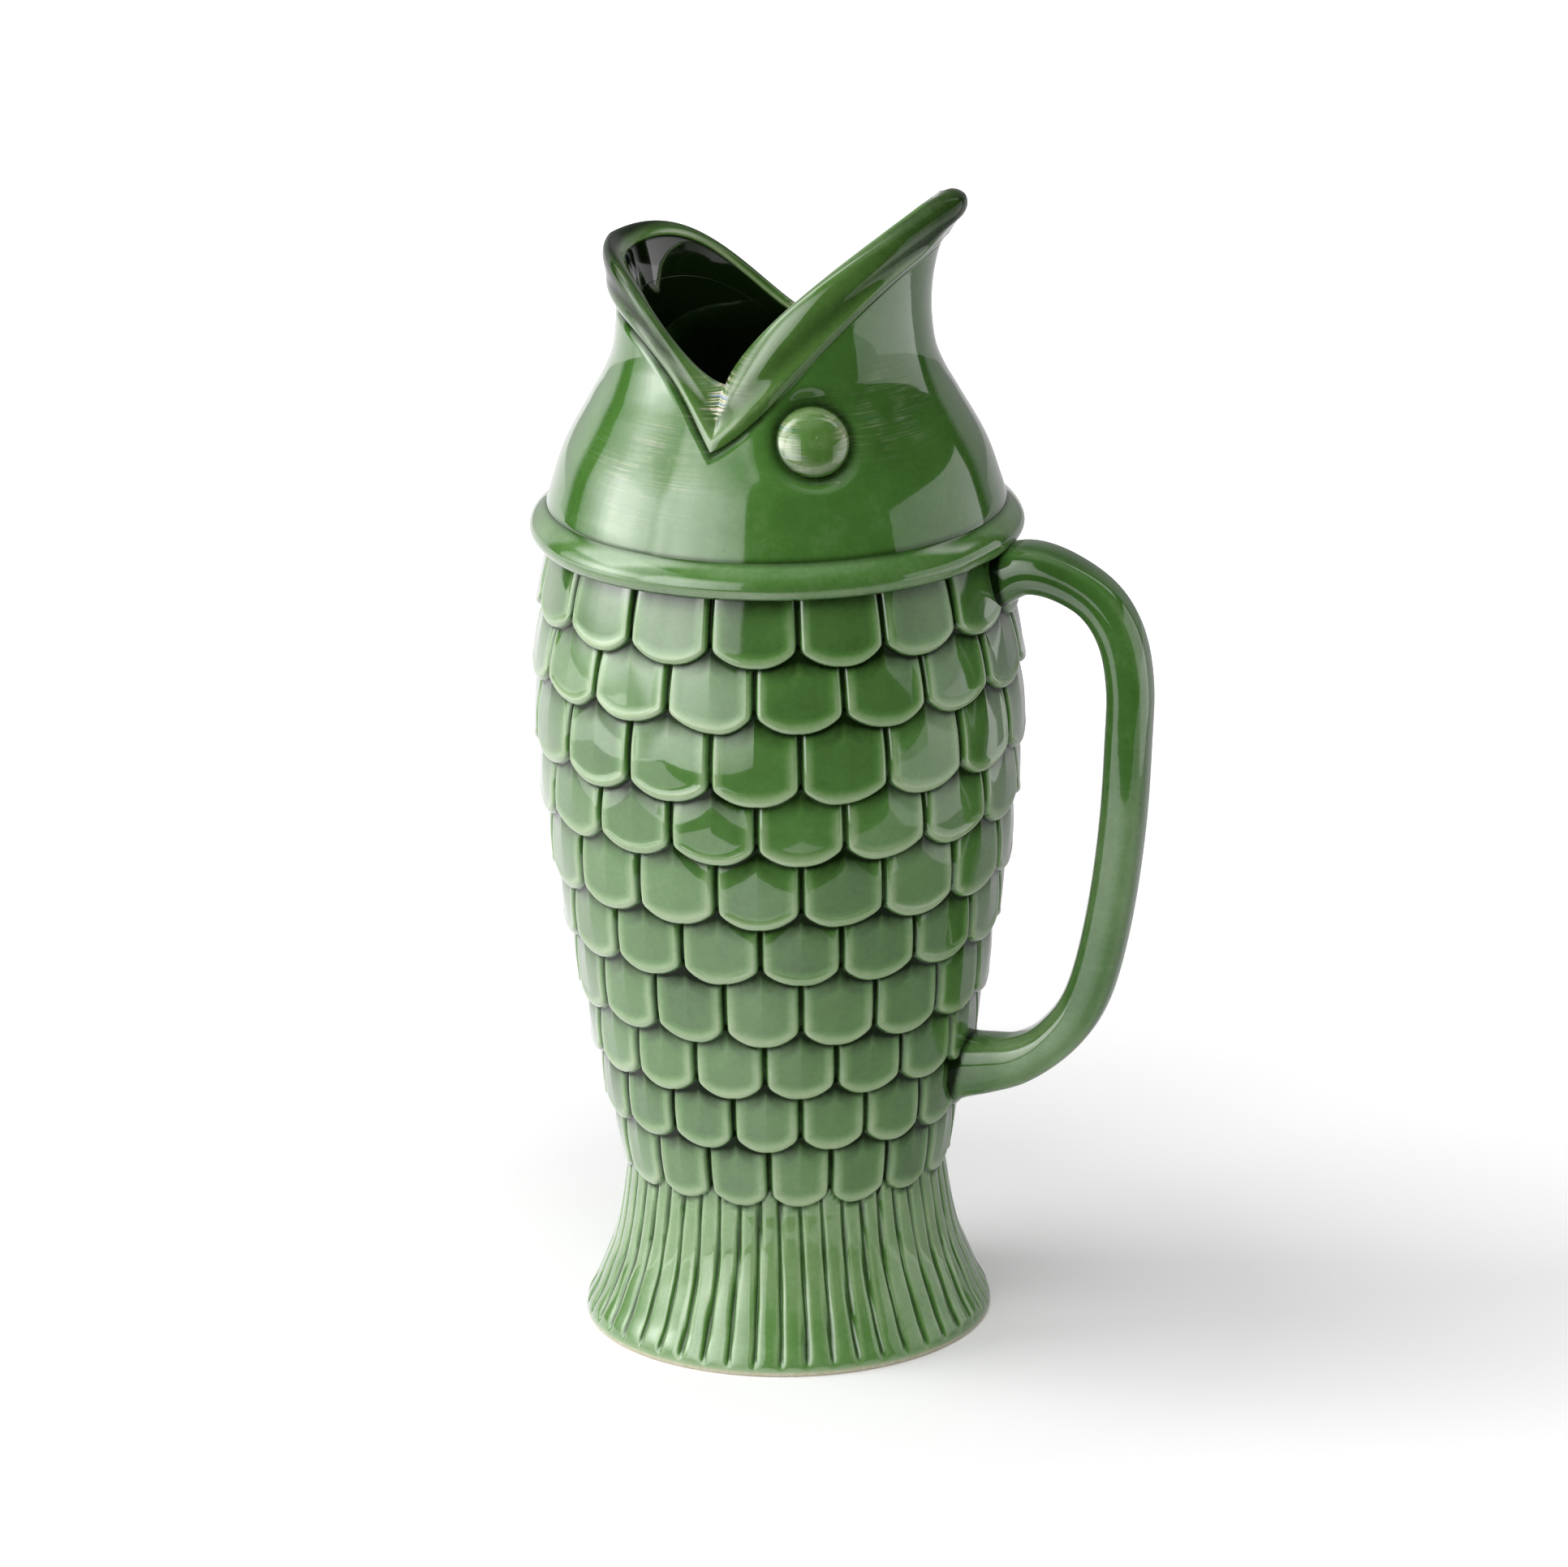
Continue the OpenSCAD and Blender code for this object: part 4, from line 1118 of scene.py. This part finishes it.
@dataclass
class LoopHandle:
    """The hollow loop handle, a coil pressed oval and luted on at both roots.

    Its path lists shares of the way out to its reach and of the way up between its roots.
    """

    form: JugForm
    reach: float = 90.8
    top_drop: float = 7.2
    low_h: float = 31.0
    thick: float = 11.3
    wide: float = 14.0
    top_thick: float = 13.4
    low_thick: float = 16.0
    root_wide: float = 16.5
    root_in: float = 0.9
    root_sink: float = 1.6
    fillet: float = 1.3
    wall: float = 2.6
    power: float = 2.7
    columns: int = 56
    path: tuple[tuple[float, float], ...] = (
        *((0, 0), (0.18, 0.008), (0.366, 0.024), (0.546, 0.065), (0.706, 0.133)),
        *((0.807, 0.221), (0.897, 0.365), (0.96, 0.53), (0.99, 0.685), (1, 0.8)),
        *((0.952, 0.895), (0.83, 0.964), (0.63, 1.007), (0.432, 1.021)),
    )

    def rings(self, t: Array, inset: float) -> Array:
        """Rings of the section square to the centre line.

        The section is a superellipse, |x|^p + |y|^p = 1, wider and thicker towards the roots
        and flared by a luting fillet where it meets the trunk.

        Args:
            t: places along the path, 0 at the lower root.
            inset: depth below the outside.

        Returns:
            Points, rings by columns.
        """
        last = float(len(self.path))
        ends_z = np.array([self.form.foot_h + self.low_h, self.form.collar_z - self.top_drop])
        ends_x = self.form.trunk_out(ends_z) - self.root_in - self.root_sink
        out, up = np.array(self.path).T
        path_x = Curve(*enumerate([*mix(ends_x[0], self.reach, out), ends_x[1]]))
        path_z = Curve(*enumerate([*mix(*ends_z, up), ends_z[1]]))
        a, b = np.maximum(t - 0.05, 0), np.minimum(t + 0.05, last)
        dx, dz = path_x(b) - path_x(a), path_z(b) - path_z(a)
        size = np.hypot(dx, dz)
        near = np.minimum(t, last - t)
        flare = ease(3 - near, 0, 3)
        root = np.where(t < last / 2, self.low_thick, self.top_thick)
        grow = self.fillet * np.exp(-near / 0.22) - inset
        half_t = mix(self.thick, root, flare) / 2 + grow
        half_w = mix(self.wide, self.root_wide, flare) / 2 + grow
        q = 2 * np.pi * np.arange(self.columns) / self.columns
        cx, cy = (np.sign(c) * np.abs(c) ** (2 / self.power) for c in (np.cos(q), np.sin(q)))
        off = half_t[:, None] * cx
        x = path_x(t)[:, None] - (dz / size)[:, None] * off
        z = path_z(t)[:, None] + (dx / size)[:, None] * off
        return np.stack([x, half_w[:, None] * cy, z], -1)

    def build(self) -> bpy.types.Object:
        """Builds the handle: its outside, then its bore back from the closed upper root.

        Glaze pools where it meets the trunk and thins over the coil's four soft corners, and the
        tone changes along it, darker towards the top and paler at the lower bend.

        Returns:
            The handle.
        """
        last = float(len(self.path))
        ends, middle = np.linspace(0, 0.8, 14), np.linspace(0.8, last - 0.8, 130)
        t = np.concatenate([ends[:-1], middle, np.linspace(last - 0.8, last, 14)[1:]])
        outer, inner = self.rings(t, 0.0), self.rings(np.linspace(last - 1.5, 0, 60), self.wall)
        cap, plug = (np.broadcast_to(r.mean(1, keepdims=True), r.shape) for r in (outer[-1:], inner[:1]))
        along = t[:, None] / last
        q = 2 * np.pi * np.arange(self.columns) / self.columns
        corner = bump(np.abs(np.cos(q)), 0.72, 0.16) + bump(-np.abs(np.cos(q)), 0.72, 0.16)
        gap = np.hypot(outer[..., 0], outer[..., 1]) - self.form.trunk_out(outer[..., 2])
        # Darker towards the top and paler at the lower bend
        run = 0.13 * ease(along, 0.55, 0.85) - 0.08 * ease(along, 0.05, 0.14) * fade(along, 0.22, 0.45)
        pool_and_shade = 0.47 + run - 0.12 * corner + 0.5 * fade(gap, 0.2, 1.8) + 0.05 * np.sin(t[:, None] * 1.7)
        bore = np.concatenate([cap, plug, inner])
        piece = build_mesh("loop_handle", Surface((outer[:, ::-1], pool_and_shade[:, ::-1]), (bore[:, ::-1], 0.9)))
        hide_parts("handle")
        return piece


@dataclass(frozen=True)
class FillLamp:
    """A soft lamp for the body light, placed by its direction from the jug."""

    name: str
    turn: float
    lift: float
    distance: float
    size: float
    level: float


@dataclass(frozen=True)
class SoftBox:
    """An upright light panel that the gloss mirrors, brighter or dimmer over its face.

    Its face is square to an azimuth from the camera's own. It spans from left to right, in
    metres from that azimuth's line, and from low to high. Each profile lists shares of the
    radiance at places from 0 to 1.
    """

    name: str
    turn: float
    distance: float
    left: float
    right: float
    low: float
    high: float
    radiance: float
    across: Stops
    upward: Stops


@dataclass(frozen=True)
class Glow:
    """A far bright region of the studio, as profiles over azimuth and over height.

    Azimuths run from the camera's own, positive to its right. Each profile lists shares of
    the radiance at angles.
    """

    radiance: float
    turns: Stops
    lifts: Stops


LEFT_BOX = SoftBox(
    *("left_box", -85.0, 0.75, -0.65, 0.45, 0.0, 1.25, 4.4),
    across=(
        *((0, 0), (0.18, 0), (0.21, 0.17), (0.28, 0.26), (0.34, 0.37), (0.41, 0.54)),
        *((0.47, 0.78), (0.53, 1), (0.65, 1), (0.8, 0.7), (0.9, 0.2), (1, 0)),
    ),
    upward=(
        *((0, 0.3), (0.09, 0.34), (0.17, 0.62), (0.25, 1), (0.36, 1), (0.45, 0.62)),
        *((0.55, 0.34), (0.7, 0.28), (0.9, 0.28), (1, 0.2)),
    ),
)
FRONT_LEFT_BOX = SoftBox(
    *("front_left_box", -42.0, 0.8, -0.36, 0.4, 0.0, 1.1, 4.0),
    across=((0, 0), (0.14, 0.62), (0.32, 0.74), (0.6, 0.54), (0.85, 0.34), (0.96, 0.28), (1, 0)),
    upward=((0, 0.7), (0.08, 0.85), (0.16, 1), (0.6, 1), (0.75, 0.7), (0.9, 0.3), (1, 0)),
)
RIGHT_BOX = SoftBox(
    *("right_box", 88.0, 0.46, -0.27, 0.26, 0.0, 0.355, 0.85),
    across=((0, 0.6), (0.5, 0.8), (1, 0.9)),
    upward=((0, 0.8), (0.5, 1), (1, 0.9)),
)
BACK_GLOW = Glow(
    radiance=0.82,
    turns=((-180, 0.35), (-165, 0.6), (-134, 1), (-128, 0), (127, 0), (135, 0.32), (180, 0.34)),
    lifts=((-30, 0.5), (10, 1), (50, 0.4), (80, 0.2)),
)
SIDE_GLOW = Glow(
    radiance=2.3,
    turns=((-130, 0), (-118, 1), (-98, 1), (-82, 0), (104, 0), (116, 0.5), (128, 0)),
    lifts=((27, 0), (34, 1), (58, 1), (72, 0.3)),
)
HIGH_GLOW = Glow(radiance=0.3, turns=((-180, 1), (180, 1)), lifts=((50, 0), (75, 1)))


@dataclass
class Studio:
    """The white table, soft light, backdrop and camera of a product photograph, in metres."""

    view_turn: float = 17.5
    table_front: float = 0.42
    table_back: float = 2.5
    table_side: float = 2.0
    jug_middle: float = 0.14
    ambient: float = 0.22
    fills: tuple[FillLamp, ...] = (
        FillLamp("key_above", -14.0, 54.0, 2.0, 1.5, 0.58),
        FillLamp("side_left", -88.0, 36.0, 1.6, 0.9, 0.66),
    )
    boxes: tuple[SoftBox, ...] = (LEFT_BOX, FRONT_LEFT_BOX, RIGHT_BOX)
    glows: tuple[Glow, ...] = (BACK_GLOW, SIDE_GLOW, HIGH_GLOW)
    mirrored: Stops = ((0, 0.3), (0.3, 0.42), (0.5, 0.7), (0.66, 0.98), (1, 1))
    camera_place: tuple[float, float, float] = (0.62313, -1.97631, 0.82112)
    camera_forward: tuple[float, float, float] = (-0.28526, 0.90613, -0.31233)
    camera_up: tuple[float, float, float] = (-0.07765, 0.30295, 0.94984)
    camera_lens_mm: float = 199.36
    camera_sensor_mm: float = 36.0
    camera_pan: float = -0.00012
    camera_roll: float = 0.0022

    def direction(self, turn: float, lift: float) -> Vector:
        """Unit vector at an azimuth from the camera's own, positive to its right, and a lift."""
        a, e = np.radians(self.view_turn + turn), np.radians(lift)
        return Vector((np.cos(e) * np.sin(a), -np.cos(e) * np.cos(a), np.sin(e)))

    def hang(self, lamp: bpy.types.Light, place: Vector, aim: Vector) -> bpy.types.Object:
        """Hangs a lamp facing back along its aim, out of the camera's sight.

        Args:
            lamp: the lamp.
            place: where its middle hangs.
            aim: the direction of the place from the jug.

        Returns:
            The lamp's object, named as the lamp is.
        """
        holder = add_object(lamp.name, lamp)
        holder.location = place
        holder.rotation_euler = aim.to_track_quat("Z", "Y").to_euler()
        holder.visible_camera = False
        return holder

    def light(self) -> None:
        """Hangs the lamps. A panel of area A and radiance L has a power of pi L A.

        A fill lamp's level is the light it gives a surface that faces it, where 1 shows a
        colour as it is written: its radiance is level * pi * (distance / size)^2.
        """
        for fill in self.fills:
            lamp = bpy.data.lights.new(fill.name, "AREA")
            lamp.shape = "SQUARE"
            lamp.size = fill.size
            lamp.energy = float(np.pi**2 * fill.level * fill.distance**2)
            aim = self.direction(fill.turn, fill.lift)
            middle = Vector((0, 0, self.jug_middle))
            self.hang(lamp, aim * fill.distance + middle, aim).visible_glossy = False
        for box in self.boxes:
            lamp = bpy.data.lights.new(box.name, "AREA")
            lamp.shape = "RECTANGLE"
            lamp.size, lamp.size_y = box.right - box.left, box.high - box.low
            lamp.energy = float(np.pi * lamp.size * lamp.size_y * box.radiance)
            lamp.use_nodes = True
            tree = lamp.node_tree
            place = add_node(tree, "NewGeometry", out="Parametric")
            x, y, _ = add_node(tree, "SeparateXYZ", place).node.outputs
            profiles = ((x, box.across), (y, box.upward))
            shares = [fill_ramp(add_node(tree, "ValToRGB", along), stops) for along, stops in profiles]
            strength = add_node(tree, "Math", *shares, operation="MULTIPLY")
            set_inputs(tree.nodes["Emission"], {"Strength": strength})
            aim = self.direction(box.turn, 0)
            side = Vector((0, 0, 1)).cross(aim) * (box.left + box.right) / 2
            middle = Vector((0, 0, (box.low + box.high) / 2))
            self.hang(lamp, aim * box.distance + side + middle, aim).visible_diffuse = False

    def backdrop(self) -> None:
        """Sets the world: white to the camera, and else the soft glows of the studio.

        A glow is the product of its profiles over the azimuth, atan2(x, -y) of the direction
        turned into the camera's frame, and over the lift, asin(z).
        """
        world = bpy.data.worlds.new("backdrop")
        bpy.context.scene.world = world
        world.use_nodes = True
        tree = world.node_tree
        way = add_node(tree, "TexCoord", out="Generated")
        spin = {"Vector": way, "Angle": -float(np.radians(self.view_turn))}
        turned = add_node(tree, "VectorRotate", spin, rotation_type="Z_AXIS")
        x, y, z = add_node(tree, "SeparateXYZ", turned).node.outputs
        back = add_node(tree, "Math", y, -1.0, operation="MULTIPLY")
        turn = add_node(tree, "Math", x, back, operation="ARCTAN2")
        lift = add_node(tree, "Math", z, operation="ARCSINE")
        total: Any = 0.0
        for glow in self.glows:
            shares = [self.by_angle(tree, turn, glow.turns), self.by_angle(tree, lift, glow.lifts)]
            share = add_node(tree, "Math", *shares, operation="MULTIPLY")
            total = add_node(tree, "Math", share, glow.radiance, total, operation="MULTIPLY_ADD")
        path = add_node(tree, "LightPath").node.outputs
        dull = add_node(tree, "Math", path["Is Diffuse Ray"], self.ambient, total, operation="MULTIPLY_ADD")
        studio = add_node(tree, "Background", WHITE, dull)
        white = add_node(tree, "Background", WHITE, 1.0)
        both = add_node(tree, "MixShader", path["Is Camera Ray"], studio, white)
        set_inputs(tree.nodes["World Output"], {"Surface": both})

    def by_angle(
        self, tree: bpy.types.NodeTree, angle: bpy.types.NodeSocket, stops: Stops
    ) -> bpy.types.NodeSocket:
        """Share of a glow at an angle, eased between its stops.

        Args:
            tree: the world's node tree.
            angle: the output that gives the angle, in radians.
            stops: angles, in degrees, and the shares there.

        Returns:
            The output that gives the share.
        """
        place = add_node(tree, "MapRange", angle, -float(np.pi), float(np.pi))
        shares = tuple(((degrees + 180) / 360, share) for degrees, share in stops)
        return fill_ramp(add_node(tree, "ValToRGB", place), shares)

    def table(self) -> bpy.types.Object:
        """Builds the white laminate table, whose front edge lies not far before the jug.

        Returns:
            The table.
        """
        mesh = bpy.data.meshes.new("table_top")
        ahead, right = -self.direction(0, 0), self.direction(90, 0)
        side, front, back = self.table_side, self.table_front, self.table_back
        places = ((-side, -front), (side, -front), (side, back), (-side, back))
        corners = [right * x + ahead * y for x, y in places]
        mesh.from_pydata([tuple(c) for c in corners], [], [(0, 1, 2, 3)])
        table = add_object("table_top", mesh)
        material, tree, shader = new_material("white laminate table")
        set_inputs(shader, {"Base Color": linear("#e4e4e4"), "Roughness": 0.6, "Specular IOR Level": 0.2})
        # The camera sees the table burn out to white away from the jug and its shadow
        place = add_node(tree, "TexCoord", out="Object")
        far = add_node(tree, "VectorMath", place, out="Value", operation="LENGTH")
        glow = add_node(tree, "Emission", WHITE, add_node(tree, "MapRange", far, 0.12, 0.9, 0.13, 1.0))
        # The gloss mirrors it bright on the side of the large left light and dim on the right
        way = add_node(tree, "VectorMath", place, operation="NORMALIZE")
        left = tuple(self.direction(-90, 0))
        aside = add_node(tree, "VectorMath", way, left, out="Value", operation="DOT_PRODUCT")
        across = add_node(tree, "MapRange", aside, -1.0, 1.0)
        mirrored = add_node(tree, "Emission", fill_ramp(add_node(tree, "ValToRGB", across), self.mirrored))
        path = add_node(tree, "LightPath").node.outputs
        plain = add_node(tree, "MixShader", path["Is Glossy Ray"], shader.outputs[0], mirrored)
        seen = add_node(tree, "MixShader", {0: path["Is Camera Ray"], 2: glow})
        set_inputs(tree.nodes["Material Output"], {"Surface": add_node(tree, "AddShader", plain, seen)})
        mesh.materials.append(material)
        return table

    def camera(self) -> bpy.types.Object:
        """Sets up the camera that the photograph's ellipses and edges were fitted to.

        Returns:
            The camera.
        """
        data = bpy.data.cameras.new("camera")
        data.sensor_fit = "HORIZONTAL"
        data.sensor_width = self.camera_sensor_mm
        data.lens = self.camera_lens_mm
        data.clip_end = 20.0
        camera = add_object("camera", data)
        forward = Vector(self.camera_forward).normalized()
        right = forward.cross(Vector(self.camera_up)).normalized()
        # A last small pan and roll lay the head where the photograph has it
        forward = (forward + self.camera_pan * right).normalized()
        right = (right + self.camera_roll * right.cross(forward)).normalized()
        turn = Matrix((right, right.cross(forward), -forward)).transposed()
        camera.matrix_world = Matrix.Translation(self.camera_place) @ turn.to_4x4()
        bpy.context.scene.camera = camera
        return camera


def dress(piece: bpy.types.Object, material: bpy.types.Material) -> None:
    """Gives a piece its material in a slot, and has it ride on the body.

    Args:
        piece: the piece.
        material: its material.
    """
    piece.data.materials.append(material)
    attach(piece, BODY)
    LOG.info("%s: %d faces", piece.name, len(piece.data.polygons))


def main() -> None:
    """Loads the frame, builds the jug in order and dresses it."""
    logging.basicConfig(level=logging.INFO, format="%(name)s: %(message)s")
    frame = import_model()
    bpy.context.scene.view_settings.view_transform = "Standard"
    studio = Studio()
    studio.camera()
    studio.light()
    studio.backdrop()
    studio.table()

    form = JugForm()
    scales = GreenGlaze("green glaze over scales and flutes", Ramp.SCALES).build()
    smooth = GreenGlaze("green glaze over smooth clay", Ramp.SMOOTH, streaks=0.75).build()
    lip_glaze = GreenGlaze("green glaze run thin over rolled clay", Ramp.LIP, streaks=1.0).build()

    tail = FlutedTail(form)
    mouth = Mouth(form)
    eyes = Eyes(form)
    dress(tail.build(), scales)
    dress(ScaledTrunk(form, tail).build(), scales)
    dress(CollarBand(form).build(), smooth)
    dress(Head(form, mouth, eyes).build(), smooth)
    dress(MouthLip(mouth).build(), lip_glaze)
    for side in Side:
        dress(eyes.build(side), lip_glaze)
    dress(LoopHandle(form).build(), smooth)

    base = frame["nodes"]["foot_base"]
    base.data.materials.clear()
    base.data.materials.append(BareClay().build())


if __name__ == "__main__":
    main()
